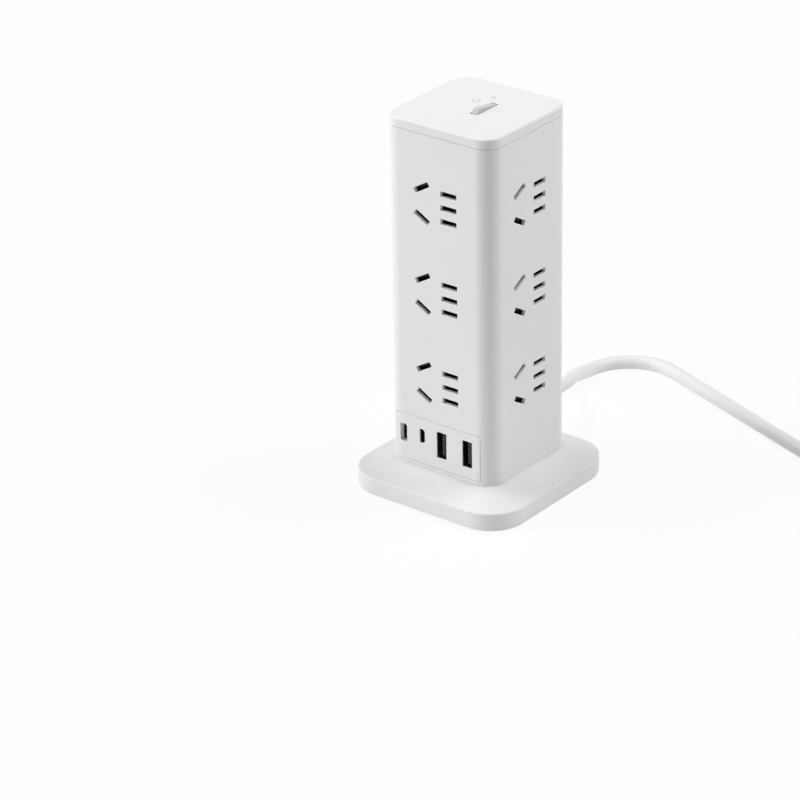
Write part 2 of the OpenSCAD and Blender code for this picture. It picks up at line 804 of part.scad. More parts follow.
// Raised pads that carry the live and earth branches above the neutral ones
module carrier_pads() {
    for (s = SLOTS) {
        if (s[3] > 0) {
            slot_bar(s[0], s[1], s[2], bar_window_l + 2 * pad_edge, bar_window_w + pad_edge,
                carrier_back_d - flat_gap, carrier_back_d + s[3] * bar_layer);
        }
    }
}
module carrier_screws() {
    for (turn = FACE_TURNS) {
        on_face(turn) carrier_screw_places() {
            translate([0, 0, carrier_back_d]) cylinder(r = screw_head_r, h = screw_head_t);
            translate([0, 0, wall + 2 * flat_gap]) cylinder(r = screw_r, h = carrier_back_d - wall);
        }
    }
}

// Shutter: windows one travel below the slots, each with a ramp that a pin pushes on
module window_cut(u, v, tilt) {
    translate([u, shutter_d, v]) rotate([0, -tilt, 0]) translate([-window_l / 2, 0, 0]) rotate([90, 0, 90])
        linear_extrude(window_l) polygon([
            [-over, -window_w / 2],
            [shutter_t + over, -window_w / 2],
            [shutter_t + over, window_w / 2],
            [shutter_t, window_w / 2],
            [0, window_w / 2 + shutter_t],
            [-over, window_w / 2 + shutter_t]]);
}
module shutter(turn, row) {
    color("dimgray") on_face(turn) translate([0, 0, socket_z(row)]) {
        difference() {
            translate([-shutter_half_w, shutter_d, -shutter_below])
                cube([2 * shutter_half_w, shutter_t, shutter_below + shutter_above]);
            for (s = SLOTS) {
                window_cut(s[0], s[1] - shutter_travel, s[2]);
            }
        }
        translate([-tab_w / 2, shutter_d + shutter_t - flat_gap, shutter_above - tab_h])
            cube([tab_w, tab_d - shutter_d - shutter_t + flat_gap, tab_h]);
        translate([0, spring_centre_d, shutter_above - flat_gap]) cylinder(r = peg_r, h = peg_h + flat_gap);
    }
}
// Spring: one wire from the shutter's tab up to the rib, its end turns lying flat
spring_steps = spring_turns * spring_rings;
function spring_points(h) = [for (i = [0:spring_steps]) let (t = i / spring_steps, a = 360 * i / spring_rings)
    [spring_r * cos(a), spring_r * sin(a), spring_wire_r + (h - 2 * spring_wire_r) * smooth(t)]];
module spring(turn, row) {
    color("silver") on_face(turn) translate([0, spring_centre_d, socket_z(row) + shutter_above + flat_gap])
        tube(spring_points(spring_h - 2 * flat_gap), spring_wire_r, spring_sides, [0, 0, 1]);
}

// Contact bars
module leaf_pair(d0) {
    waist_d = d0 + leaf_waist_share * (contact_end_d - d0);
    for (s = [-1, 1]) {
        translate([-leaf_l / 2, 0, 0]) rotate([90, 0, 90]) linear_extrude(leaf_l) polygon([
            [d0, s * leaf_root],
            [waist_d, s * leaf_waist],
            [contact_end_d, s * leaf_mouth],
            [contact_end_d, s * (leaf_mouth + leaf_t)],
            [waist_d, s * (leaf_waist + leaf_t)],
            [d0, s * (leaf_root + leaf_t)]]);
    }
}
// Outline of one branch, seen from outside: x is u and y is v
module branch_outline(pole) {
    for (s = SLOTS) {
        if (s[3] == pole) {
            translate([s[0], s[1]]) rotate([0, 0, s[2]])
                square([bar_window_l + 2 * pad_edge, bar_window_w + 2 * leaf_t], center = true);
        }
    }
    reach = pole == 2 ? [flat_u, spine_u[2]] : pole == 1 ? [tilted_u, flat_u] : [spine_u[0], flat_u];
    v = pole == 2 ? 0 : (pole == 1 ? -1 : 1) * flat_pitch / 2;
    translate([reach[0], v - branch_in / 2]) square([reach[1] - reach[0], branch_in]);
}
module contact_bar(turn, pole) {
    d0 = carrier_back_d + pole * bar_layer;
    color("gold") on_face(turn) {
        difference() {
            translate([0, d0 + bar_t, 0]) rotate([90, 0, 0]) linear_extrude(bar_t) {
                for (row = [1:ROWS]) {
                    translate([0, socket_z(row)]) branch_outline(pole);
                }
                translate([spine_u[pole] - spine_half_w[pole], socket_z(1) - flat_pitch / 2 - branch_in / 2])
                    square([2 * spine_half_w[pole],
                        (ROWS - 1) * socket_pitch + flat_pitch + branch_in + spine_top_reach]);
            }
            for (row = [1:ROWS], s = SLOTS) {
                if (s[3] == pole) {
                    translate([0, 0, socket_z(row)])
                        slot_bar(s[0], s[1], s[2], bar_window_l, bar_window_w, d0 - over, d0 + bar_t + over);
                }
            }
            for (row = [1:ROWS - 1]) {
                translate([spine_u[pole], d0 - over, socket_z(row) + stake_v]) rotate([-90, 0, 0])
                    cylinder(r = stake_hole_r, h = bar_t + 2 * over);
            }
        }
        for (row = [1:ROWS], s = SLOTS) {
            if (s[3] == pole) {
                translate([s[0], 0, socket_z(row) + s[1]]) rotate([0, -s[2], 0]) leaf_pair(d0);
            }
        }
    }
}

// USB panel
module port_outline(kind, grow) {
    if (kind == "a") square([port_a_w + 2 * grow, port_a_l + 2 * grow], center = true);
    if (kind == "c") round_square(port_c_w + 2 * grow, port_c_r + grow, port_c_l + 2 * grow);
    if (kind == "m") {
        w = port_m_w / 2 + grow;
        h = port_m_l / 2 + grow;
        polygon([[-w, -h], [w - port_m_chamfer, -h], [w, -h + port_m_chamfer],
            [w, h - port_m_chamfer], [w - port_m_chamfer, h], [-w, h]]);
    }
}
// Each row is the kind of port, its u and its v
PORTS = [
    ["c", port_c_u, port_c_v],
    ["m", port_m_u, port_m_v],
    ["a", port_a_u - port_a_pitch / 2, port_a_v],
    ["a", port_a_u + port_a_pitch / 2, port_a_v]];
module port_bar(i, grow, d0, d1) {
    on_face(0) translate([PORTS[i][1], d1, PORTS[i][2]]) rotate([90, 0, 0]) linear_extrude(d1 - d0)
        port_outline(PORTS[i][0], grow);
}
module usb_panel() {
    color("white") difference() {
        union() {
            intersection() {
                translate([0, 0, panel_v - panel_h]) difference() {
                    round_block(tower_w, tower_corner_r, 2 * panel_h);
                    translate([0, 0, -over]) round_block(tower_w - 2 * panel_t, tower_corner_r - panel_t,
                        2 * panel_h + 2 * over);
                }
                panel_hole(-panel_gap, -over, 3 * wall);
            }
            on_face(0) translate([-flange_half_w, wall, panel_top_z - panel_h - flange_over])
                cube([2 * flange_half_w, flange_t, panel_h + 2 * flange_over]);
            on_face(0) translate([-flange_half_w, panel_t - flat_gap, panel_v - panel_h / 2 + panel_gap])
                cube([2 * flange_half_w, wall - panel_t + 2 * flat_gap, panel_h - 2 * panel_gap]);
            for (p = BOARD_POSTS) {
                on_face(0) translate([p[0], wall, p[1]]) rotate([-90, 0, 0]) {
                    cylinder(r = board_post_r, h = board_d - wall);
                    cylinder(r = stake_r, h = board_d + board_t + stake_h - wall);
                }
            }
        }
        for (i = [0:len(PORTS) - 1]) {
            port_bar(i, -port_wall, -over, wall);
            port_bar(i, flat_gap / 2, port_a_recess, wall + flange_t + over);
        }
    }
}
module usb_port(i) {
    front = port_a_recess + flat_gap / 2;
    tongue = PORTS[i][0] == "a" ? tongue_w : thin_tongue_w;
    color("silver") {
        difference() {
            port_bar(i, 0, front, board_d);
            port_bar(i, -port_wall, -over, board_d - port_wall);
        }
        intersection() {
            port_bar(i, -port_wall - tongue / 2, front, board_d - port_wall / 2);
            on_face(0) translate([PORTS[i][1] - tongue / 2, front + tongue, PORTS[i][2] - port_a_l / 2])
                cube([tongue, board_d, port_a_l]);
        }
    }
}
module usb_a_ports() {
    usb_port(2);
    usb_port(3);
}
module usb_board() {
    color("green") on_face(0) difference() {
        translate([panel_u - board_w / 2, board_d, board_bottom_v])
            cube([board_w, board_t, board_top_v - board_bottom_v]);
        for (p = BOARD_POSTS) {
            translate([p[0], board_d - over, p[1]]) rotate([-90, 0, 0])
                cylinder(r = stake_hole_r, h = board_t + 2 * over);
        }
    }
}
module usb_transformer() {
    color("dimgray") on_face(0) translate([transformer_u, board_d + board_t, board_mid_v]) {
        translate([-transformer_w / 2, 0, -transformer_h / 2])
            cube([transformer_w, transformer_t / 2, transformer_h]);
        translate([-coil_former_w / 2, 0, -transformer_h / 2])
            cube([coil_former_w, transformer_t, transformer_h]);
    }
}
module usb_capacitors() {
    color("black") for (u = capacitor_u) {
        on_face(0) translate([u, board_d + board_t, board_mid_v]) rotate([-90, 0, 0])
            cylinder(r = capacitor_r, h = capacitor_l);
    }
}

// Base: rings of a rounded square, from the bottom of the side up to the foot of the tower
function ring(w, r, z) = [for (q = [0:3], k = [0:corner_steps])
    let (a = 90 * (q + k / corner_steps), sx = (q == 0 || q == 3) ? 1 : -1, sy = q < 2 ? 1 : -1)
        [sx * (w / 2 - r) + r * cos(a), sy * (w / 2 - r) + r * sin(a), z]];
top_ring_w = tower_w + 2 * foot_land;
slope_w = base_w - 2 * edge_soft;
BASE_RINGS = concat(
    [ring(base_w, base_corner_r, base_bottom_z)],
    [for (k = [0:rim_rings]) let (a = 90 * k / rim_rings)
        ring(base_w - 2 * edge_soft * (1 - cos(a)), base_corner_r - edge_soft * (1 - cos(a)),
            base_side_top_z - edge_soft * (1 - sin(a)))],
    [for (k = [1:slope_rings]) let (t = k / slope_rings)
        ring(slope_w + (top_ring_w - slope_w) * t,
            base_corner_r - edge_soft + (tower_corner_r + foot_land - base_corner_r + edge_soft) * t,
            base_side_top_z + base_rise * pow(t, slope_bend))]);
module base_solid() {
    n = len(BASE_RINGS[0]);
    m = len(BASE_RINGS);
    polyhedron(points = [for (r = BASE_RINGS, p = r) p], faces = concat(
        [[for (k = [0:n - 1]) k]],
        [for (i = [0:m - 2], k = [0:n - 1]) [i * n + k, (i + 1) * n + k, (i + 1) * n + (k + 1) % n]],
        [for (i = [0:m - 2], k = [0:n - 1]) [i * n + k, (i + 1) * n + (k + 1) % n, i * n + (k + 1) % n]],
        [[for (k = [0:n - 1]) m * n - 1 - k]]));
}
module base_screw_places() {
    for (sx = [-1, 1], sy = [-1, 1]) {
        translate([sx * base_screw_at, sy * base_screw_at, 0]) children();
    }
}
module base_cover() {
    spigot_cut_h = spigot_h + 2 * over;
    color("white") difference() {
        union() {
            difference() {
                base_solid();
                translate([0, 0, base_bottom_z - over])
                    round_block(base_inner_w, base_inner_r, rim_cavity_h + over);
                translate([0, 0, base_bottom_z]) round_block(inner_w, inner_corner_r, deep_z - base_bottom_z);
            }
            translate([0, 0, shell_bottom_z - flat_gap]) difference() {
                round_block(inner_w - 2 * spigot_gap, inner_corner_r - spigot_gap, spigot_h);
                translate([0, 0, -over]) round_block(inner_w - 2 * (spigot_gap + spigot_t),
                    inner_corner_r - spigot_gap - spigot_t, spigot_cut_h);
                translate([-spigot_notch, -tower_w, -over]) cube([2 * spigot_notch, tower_w, spigot_cut_h]);
                translate([-shelf_half_w - over, 0, -over])
                    cube([2 * (shelf_half_w + over), tower_w, spigot_cut_h]);
                for (p = TOWER_SCREWS) {
                    translate([p[0], p[1], -over]) cylinder(r = corner_boss_r + spigot_gap, h = spigot_cut_h);
                }
            }
            base_screw_places() translate([0, 0, base_bottom_z])
                cylinder(r = base_boss_r, h = rim_cavity_h + flat_gap);
        }
        for (p = TOWER_SCREWS) {
            translate([p[0], p[1], deep_z - over]) cylinder(r = big_clear_r, h = base_wall + 2 * over);
        }
        base_screw_places() translate([0, 0, base_bottom_z - over]) cylinder(r = pilot_r, h = rim_cavity_h);
    }
}
module tower_screws() {
    color("silver") for (p = TOWER_SCREWS) {
        translate([p[0], p[1], deep_z]) {
            translate([0, 0, -big_head_t]) cylinder(r = big_head_r, h = big_head_t);
            cylinder(r = big_screw_r, h = tower_screw_l);
        }
    }
}
module foot_places() {
    for (sx = [-1, 1], sy = [-1, 1]) {
        translate([sx * foot_at, sy * foot_at, 0]) children();
    }
}
module base_plate() {
    lip_w = base_inner_w - 2 * plate_lip_gap;
    lip_r = base_inner_r - plate_lip_gap;
    color("whitesmoke") difference() {
        union() {
            translate([0, 0, foot_h])
                round_block(base_w - 2 * plate_inset, base_corner_r - plate_inset, base_plate_t);
            translate([0, 0, base_bottom_z - flat_gap]) difference() {
                round_block(lip_w, lip_r, plate_lip_t + flat_gap);
                translate([0, 0, -over])
                    round_block(lip_w - 2 * plate_lip_t, lip_r - plate_lip_t, 2 * plate_lip_t + over);
            }
            for (sx = [-1, 1], sy = [-1, 1]) {
                translate([sx * weight_post_at, sy * weight_post_at, base_bottom_z - flat_gap])
                    cylinder(r = weight_post_r, h = weight_post_h + flat_gap);
            }
        }
        base_screw_places() translate([0, 0, foot_h - over])
            cylinder(r = screw_clear_r, h = base_plate_t + 2 * over);
        foot_places() translate([0, 0, foot_h - over]) cylinder(r = foot_r + flat_gap, h = foot_sunk + over);
    }
}
module base_screws() {
    color("silver") base_screw_places() {
        translate([0, 0, foot_h - base_head_t]) cylinder(r = screw_head_r, h = base_head_t);
        translate([0, 0, foot_h]) cylinder(r = screw_r, h = base_plate_t + base_screw_grip);
    }
}
module rubber_feet() {
    color("dimgray") foot_places() cylinder(r = foot_r, h = foot_h + foot_sunk);
}
module base_weight() {
    color("slategray") translate([0, 0, base_bottom_z + weight_post_h])
        round_block(weight_w, weight_r, weight_t);
}

// Cord gland with its ribbed strain relief, about the cord's axis: x is the radius and y the way out
module relief_profile(root_r, tip_r, l, start) {
    step = (l - start - groove_l) / relief_grooves;
    difference() {
        polygon([[0, 0], [root_r, 0], [tip_r, l], [0, l]]);
        for (k = [0:relief_grooves - 1]) {
            at = start + k * step;
            translate([tip_r - groove_deep + (root_r - tip_r) * (1 - at / l), at]) square([root_r, groove_l]);
        }
    }
}
module cord_gland() {
    color("gainsboro") translate([0, tower_w / 2, gland_z]) rotate([-90, 0, 0]) {
        translate([0, 0, -wall - gland_flange_t]) cylinder(r = gland_r, h = gland_flange_t);
        translate([0, 0, -wall]) cylinder(r = gland_neck_r, h = wall);
        cylinder(r = gland_r, h = gland_flange_t);
        rotate_extrude()
            relief_profile(relief_root_r, relief_tip_r, relief_l + gland_flange_t, gland_flange_t + over);
    }
}
module cord_sheath_end() {
    sheath_y = tower_w / 2 - wall - gland_flange_t - sheath_in_l;
    color("gainsboro") translate([0, sheath_y, gland_z]) {
        rotate([-90, 0, 0]) cylinder(r = sheath_r, h = sheath_in_l);
        for (k = [0:2]) {
            rotate([0, 90 + 120 * k, 0]) translate([sheath_r - core_r - flat_gap, 0, 0]) rotate([90, 0, 0])
                cylinder(r = core_r, h = core_l);
        }
    }
}
module cord_clamp() {
    y0 = tower_w / 2 - wall - clamp_from - clamp_l;
    shelf_z = gland_z - sheath_r;
    color("white") difference() {
        translate([-shelf_half_w, y0, shelf_z]) cube([2 * shelf_half_w, clamp_l, cord_d + clamp_top]);
        translate([0, y0 - over, gland_z]) rotate([-90, 0, 0])
            cylinder(r = sheath_r + flat_gap / 2, h = clamp_l + 2 * over);
        translate([-sheath_r - flat_gap / 2, y0 - over, shelf_z - over])
            cube([cord_d + flat_gap, clamp_l + 2 * over, sheath_r + over]);
        clamp_screw_places() translate([0, 0, shelf_z - over])
            cylinder(r = screw_clear_r, h = cord_d + clamp_top + 2 * over);
    }
}
module clamp_screws() {
    top_z = gland_z + sheath_r + clamp_top;
    clamp_screw_places() {
        translate([0, 0, top_z]) cylinder(r = screw_head_r, h = screw_head_t);
        translate([0, 0, gland_z - sheath_r - shelf_t])
            cylinder(r = screw_r, h = top_z - gland_z + sheath_r + shelf_t);
    }
}

module inner_screws() {
    color("silver") {
        cap_screws();
        carrier_screws();
        clamp_screws();
    }
}

// Supply cord: its free stretch, from the strain relief's tip to the coil
relief_tip_y = tower_w / 2 + gland_flange_t + relief_l;
coil_centre = COIL_ENTRY + coil_r * [cos(cord_heading + 90), sin(cord_heading + 90)];
coil_z = sheath_r * cos(180 / coil_sides) + coil_lift;
heading = [cos(cord_heading), sin(cord_heading)];
entry_point = [COIL_ENTRY[0], COIL_ENTRY[1], coil_z];
supply_points = concat([[0, relief_tip_y, gland_z], [0, relief_tip_y + cord_d, gland_z]], CORD_ROUTE,
    [entry_point - cord_d * [heading[0], heading[1], 0], entry_point]);
module supply_cord() {
    color("gainsboro") tube(supply_points, sheath_r / cos(180 / cord_sides), cord_sides, [0, 0, 1]);
}
// Coil: it spirals in, climbs a layer in the half turn where it turns round, and spirals out
half_turns = coil_turns / 2;
function coil_radius(t) = coil_r - coil_pitch * (t < half_turns ? t : coil_turns - t);
function coil_height(t) = coil_z + coil_pitch * smooth((t - half_turns) / climb_share + 0.5);
function coil_point(t) = let (a = cord_heading - 90 + 360 * t)
    [coil_centre[0] + coil_radius(t) * cos(a), coil_centre[1] + coil_radius(t) * sin(a), coil_height(t)];
coil_steps = floor(coil_turns * coil_rings);
tail_heading = cord_heading + 360 * coil_turns;
tail_dir = [cos(tail_heading), sin(tail_heading), 0];
tail_start = coil_point(coil_turns);
function tail_point(t) = tail_start + tail_l * t * tail_dir
    + [0, 0, (plug_axis_z - tail_start[2]) * smooth(t / tail_fall_share)];
wound_points = [for (i = [0:coil_steps - 1]) coil_point(coil_turns * (i + 1) / coil_steps)];
coil_points = concat([entry_point, entry_point + cord_d * [heading[0], heading[1], 0]], wound_points,
    [for (i = [1:tail_rings]) tail_point(tail_fall_share * i / tail_rings)],
    [tail_point(1 - cord_d / tail_l), tail_point(1)]);
module cord_coil() {
    color("gainsboro") tube(coil_points, sheath_r, coil_sides, [0, 0, 1]);
}
coil_room = min([for (i = [0:len(wound_points) - 1], j = [0:len(wound_points) - 1])
    if (j - i > coil_rings / 2) norm(wound_points[j] - wound_points[i])]) - cord_d;
echo(coil_least_gap = coil_room);

// Tie: a strap round all the turns at one side of the coil
tie_angle = 165;
tie_w = 9;
tie_t = 0.6;
tie_gap = 0.3;
tie_turn = (tie_angle - cord_heading + 90) / 360;
tie_in = coil_radius(tie_turn + floor(half_turns) - 1) - sheath_r - 2 * tie_gap;
tie_out = coil_radius(tie_turn) + sheath_r + tie_gap;
tie_top = coil_z + coil_pitch + sheath_r;
module cord_tie() {
    color("white") translate([coil_centre[0], coil_centre[1], 0]) rotate([0, 0, tie_angle]) difference() {
        translate([tie_in - tie_t, -tie_w / 2, 0])
            cube([tie_out - tie_in + 2 * tie_t, tie_w, tie_top + tie_t]);
        translate([tie_in, -tie_w, tie_t]) cube([tie_out - tie_in, 2 * tie_w, tie_top - tie_t]);
    }
}

// Plug, in a frame whose x runs from the cord's tail into the plug
plug_at = tail_point(1);
module on_plug() {
    translate([plug_at[0], plug_at[1], 0]) rotate([0, 0, tail_heading]) children();
}
module plug_corner(x, y) {
    translate([x, y, 0]) {
        translate([0, 0, plug_crown]) cylinder(r = plug_round, h = plug_t - 2 * plug_crown, $fn = hull_fn);
        cylinder(r = plug_round - plug_crown, h = plug_t, $fn = hull_fn);
    }
}
module plug_body() {
    color("white") on_plug() {
        hull() {
            plug_corner(plug_relief_l + plug_round, plug_nose_w / 2 - plug_round);
            plug_corner(plug_relief_l + plug_round, -plug_nose_w / 2 + plug_round);
            plug_corner(plug_relief_l + plug_waist_share * plug_l, plug_w / 2 - plug_round);
            plug_corner(plug_relief_l + plug_waist_share * plug_l, -plug_w / 2 + plug_round);
            plug_corner(plug_relief_l + plug_l - plug_round, plug_nose_w / 2 - plug_round);
            plug_corner(plug_relief_l + plug_l - plug_round, -plug_nose_w / 2 + plug_round);
        }
        translate([plug_relief_l + over, 0, plug_axis_z]) rotate([0, -90, 0])
            rotate_extrude() relief_profile(plug_relief_r, relief_tip_r, plug_relief_l + over, 2 * over);
    }
}
module plug_blade(x, y, tilt, l) {
    translate([x, y, plug_t]) rotate([0, 0, tilt]) translate([-pin_w / 2, -pin_t / 2, 0]) {
        cube([pin_w, pin_t, l - pin_t]);
        translate([pin_t / 2, pin_t / 4, 0]) cube([pin_w - pin_t, pin_t / 2, l]);
    }
}
module plug_pins() {
    color("gold") on_plug() {
        row_x = plug_relief_l + live_row_at;
        plug_blade(row_x, live_pitch / 2, slot_tilt, pin_l_live);
        plug_blade(row_x, -live_pitch / 2, -slot_tilt, pin_l_live);
        plug_blade(row_x + column_pitch, 0, 0, pin_l_earth);
    }
}

front_shell();
rear_shell();
top_cap();
rocker();
switch_body();
switch_terminals();
light_pipe();
indicator_lamp();
inner_screws();
for (i = [0:2]) {
    carrier(FACE_TURNS[i]);
    for (row = [1:ROWS]) {
        shutter(FACE_TURNS[i], row);
        spring(FACE_TURNS[i], row);
    }
    for (pole = [0:2]) {
        contact_bar(FACE_TURNS[i], pole);
    }
}
usb_panel();
usb_port(0);  // usb_c_port
usb_port(1);  // usb_micro_port
usb_a_ports();
usb_board();
usb_transformer();
usb_capacitors();
base_cover();
base_plate();
base_weight();
rubber_feet();
tower_screws();
base_screws();
cord_gland();
cord_sheath_end();
cord_clamp();
supply_cord();
cord_coil();
cord_tie();
plug_body();
plug_pins();
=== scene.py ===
from math import cos, hypot, pi, radians, sin, sqrt

import bmesh
import bpy
from mathutils import Matrix, Vector


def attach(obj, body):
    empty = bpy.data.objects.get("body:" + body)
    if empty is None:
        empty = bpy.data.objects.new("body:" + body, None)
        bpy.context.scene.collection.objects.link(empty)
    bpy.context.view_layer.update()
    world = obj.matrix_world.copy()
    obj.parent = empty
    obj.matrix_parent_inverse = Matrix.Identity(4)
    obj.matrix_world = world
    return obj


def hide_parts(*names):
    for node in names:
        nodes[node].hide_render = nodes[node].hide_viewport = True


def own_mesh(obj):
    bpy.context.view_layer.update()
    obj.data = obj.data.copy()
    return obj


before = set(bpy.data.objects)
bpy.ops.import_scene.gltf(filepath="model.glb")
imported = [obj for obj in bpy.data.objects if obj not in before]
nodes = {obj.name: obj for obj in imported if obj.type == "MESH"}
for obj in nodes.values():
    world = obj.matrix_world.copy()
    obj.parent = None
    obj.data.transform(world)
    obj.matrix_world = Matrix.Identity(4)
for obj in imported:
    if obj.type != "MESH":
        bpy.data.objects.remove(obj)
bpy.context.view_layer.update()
mm = 0.001
print("frame loaded:", len(nodes), "nodes")

# Camera

camera = {
    "place": (890.548, -1177.391, 759.566),      # mm, from fitting the socket pattern in the photograph
    "right": (0.78781792, 0.61570884, -0.01567015),
    "up": (-0.25924662, 0.35457783, 0.89836838),
    "back": (0.55868964, -0.70368828, 0.4389632),
    "focalPixels": 3722.309,
    "framePixels": 800,
    "sensorWidth": 36.0,
    "clip": (0.05, 20),
}


def makeCamera(spec):
    data = bpy.data.cameras.new("photoCamera")
    data.sensor_width = spec["sensorWidth"]
    data.lens = spec["focalPixels"] / spec["framePixels"] * spec["sensorWidth"]
    data.clip_start, data.clip_end = spec["clip"]
    item = bpy.data.objects.new("photoCamera", data)
    rows = [Vector(spec[name]).normalized() for name in ("right", "up", "back")]
    turn = Matrix(rows).transposed().to_4x4()
    item.matrix_world = Matrix.Translation(Vector(spec["place"]) * mm) @ turn
    bpy.context.scene.collection.objects.link(item)
    bpy.context.scene.camera = item


makeCamera(camera)

# Sizes that several pieces share, in mm, read from the frame where it holds them


def nodeBox(name):
    corners = [v.co / mm for v in nodes[name].data.vertices]
    low = Vector([min(c[i] for c in corners) for i in range(3)])
    high = Vector([max(c[i] for c in corners) for i in range(3)])
    return low, high


capHigh = nodeBox("top_cap")[1]
tower = {
    "half": capHigh.x,            # half the tower's width
    "cornerRadius": 8.4,
    "capTop": capHigh.z,
    "skinReach": 0.02,            # how near the skin a corner of the mesh counts as on it
}

# Materials


def linearColour(hexColour):
    channels = [int(hexColour[i:i + 2], 16) / 255 for i in (1, 3, 5)]
    return (*[c / 12.92 if c <= 0.04045 else ((c + 0.055) / 1.055) ** 2.4 for c in channels], 1.0)


# A node given as an input's value is linked by its first output
def addNode(tree, kind, inputs=None, **settings):
    node = tree.nodes.new(kind)
    for name, value in settings.items():
        setattr(node, name, value)
    for key, value in (inputs or {}).items():
        if isinstance(value, bpy.types.Node):
            value = value.outputs[0]
        if isinstance(value, bpy.types.NodeSocket):
            tree.links.new(value, node.inputs[key])
        else:
            node.inputs[key].default_value = value
    return node


def newMaterial(name):
    material = bpy.data.materials.new(name)
    material.use_nodes = True
    material.node_tree.nodes.clear()
    return material, material.node_tree, addNode(material.node_tree, "ShaderNodeTexCoord").outputs


def finishMaterial(tree, spec, colour, pattern, inputs):
    bumps = addNode(tree, "ShaderNodeBump", {
        "Strength": spec["relief"], "Distance": spec["depth"] * mm, "Height": pattern})
    shader = addNode(tree, "ShaderNodeBsdfPrincipled", {"Base Color": colour, "Normal": bumps, **inputs})
    addNode(tree, "ShaderNodeOutputMaterial", {"Surface": shader})


# A wide noise shifts the colour, and the surface's own fine pattern its gloss and height
def patternedSurface(tree, place, pattern, spec, **inputs):
    wide = addNode(tree, "ShaderNodeTexNoise", {
        "Vector": place["Object"], "Scale": 1 / (spec["flow"] * mm), "Detail": spec["flowDetail"]})
    tint = addNode(tree, "ShaderNodeMix", {
        0: wide, 6: linearColour(spec["colour"]), 7: linearColour(spec["shade"])}, data_type="RGBA")
    sheen = addNode(tree, "ShaderNodeMapRange", {
        "Value": pattern, "To Min": spec["roughness"] - spec["spread"],
        "To Max": spec["roughness"] + spec["spread"]})
    finishMaterial(tree, spec, tint.outputs[2], pattern, {"Roughness": sheen, **inputs})


# What most of the moulded pieces share: a fine tool texture, its sizes in mm
moulded = {"spread": 0.05, "grain": 0.5, "depth": 0.02, "relief": 0.4, "flowDetail": 2.0}


def mouldedPlastic(changes):
    spec = {**moulded, **changes}
    material, tree, place = newMaterial(spec["name"])
    grain = addNode(tree, "ShaderNodeTexNoise", {
        "Vector": place["Object"], "Scale": 1 / (spec["grain"] * mm), "Detail": 3.0})
    patternedSurface(tree, place, grain, spec, IOR=spec["ior"])
    return material


# White ABS moulded in a lightly spark-textured tool: a soft satin white, nearly even
satinAbs = mouldedPlastic({
    "name": "satinWhiteAbs", "colour": "#F3F3F3", "shade": "#F0F0F0", "roughness": 0.42, "spread": 0.03,
    "ior": 1.54, "depth": 0.012, "relief": 0.35, "flow": 35})
# Light grey ABS of the rocker: a smooth satin skin, clearly greyer than the cap round it
greyAbs = mouldedPlastic({
    "name": "lightGreyAbs", "colour": "#CFCFCF", "shade": "#CBCBCB", "roughness": 0.4, "spread": 0.03,
    "ior": 1.54, "grain": 0.8, "depth": 0.006, "relief": 0.2, "flow": 20})
# Unpainted nylon of the cord clamp: a dull warm ivory
ivoryNylon = mouldedPlastic({
    "name": "ivoryNylon", "colour": "#E6E3D8", "shade": "#DEDACD", "roughness": 0.55, "ior": 1.53, "grain": 0.6,
    "flow": 15})
# Near-black nylon of the shutters and their carriers: painted shade, standing in for the shade deep inside the slots
blackNylon = mouldedPlastic({
    "name": "blackNylon", "colour": "#141414", "shade": "#1B1B1B", "roughness": 0.5, "spread": 0.06,
    "ior": 1.53, "flow": 8})
# Black PBT of the switch, the transformer and the port insulators: matt and dense
blackPbt = mouldedPlastic({
    "name": "blackPbt", "colour": "#0E0E0F", "shade": "#17171A", "roughness": 0.6, "ior": 1.55, "flow": 6})
# Soft white PVC overmould of the plug and the gland: slightly greyer and duller than the ABS
whitePvc = mouldedPlastic({
    "name": "whitePvcOvermould", "colour": "#EFEFEE", "shade": "#EAEAE9", "roughness": 0.5, "spread": 0.04,
    "ior": 1.52, "grain": 0.7, "relief": 0.35, "flow": 18})
# Dark soft rubber of the feet: dull, with a fine skin
darkRubber = mouldedPlastic({
    "name": "softDarkRubber", "colour": "#2A2A2B", "shade": "#343435", "roughness": 0.78, "spread": 0.08,
    "ior": 1.52, "grain": 0.4, "depth": 0.03, "relief": 0.6, "flow": 5})
# Pad-printed grey ink of the power mark: thin, dull and slightly uneven
greyInk = mouldedPlastic({
    "name": "padPrintedGreyInk", "colour": "#BDBDBD", "shade": "#C8C8C8", "roughness": 0.6, "ior": 1.5,
    "grain": 0.3, "depth": 0.01, "relief": 0.3, "flow": 1.5})
# Frosted polycarbonate of the light pipe: milky, all but lost in the white cap
frostedPc = mouldedPlastic({
    "name": "frostedPolycarbonate", "colour": "#EEEFEE", "shade": "#EAEBEA", "roughness": 0.36, "spread": 0.03,
    "ior": 1.58, "grain": 0.4, "depth": 0.004, "relief": 0.1, "flow": 2})
# Smoked epoxy of the lamp and its lens: the small grey dot beside the rocker
smokedEpoxy = mouldedPlastic({
    "name": "smokedEpoxy", "colour": "#868B88", "shade": "#7C817E", "roughness": 0.18, "spread": 0.02,
    "ior": 1.56, "grain": 0.4, "depth": 0.004, "relief": 0.1, "flow": 1})


# What most of the metals share: fine working lines, their sizes in mm
worked = {"spread": 0.08, "stretch": (1, 1, 1), "grain": 0.3, "depth": 0.01, "relief": 0.25, "flowDetail": 3.0}


def workedMetal(changes):
    spec = {**worked, **changes}
    material, tree, place = newMaterial(spec["name"])
    drawn = addNode(tree, "ShaderNodeMapping", {"Vector": place["Object"], "Scale": spec["stretch"]})
    lines = addNode(tree, "ShaderNodeTexNoise", {
        "Vector": drawn, "Scale": 1 / (spec["grain"] * mm), "Detail": 4.0})
    patternedSurface(tree, place, lines, spec, Metallic=1.0)
    return material


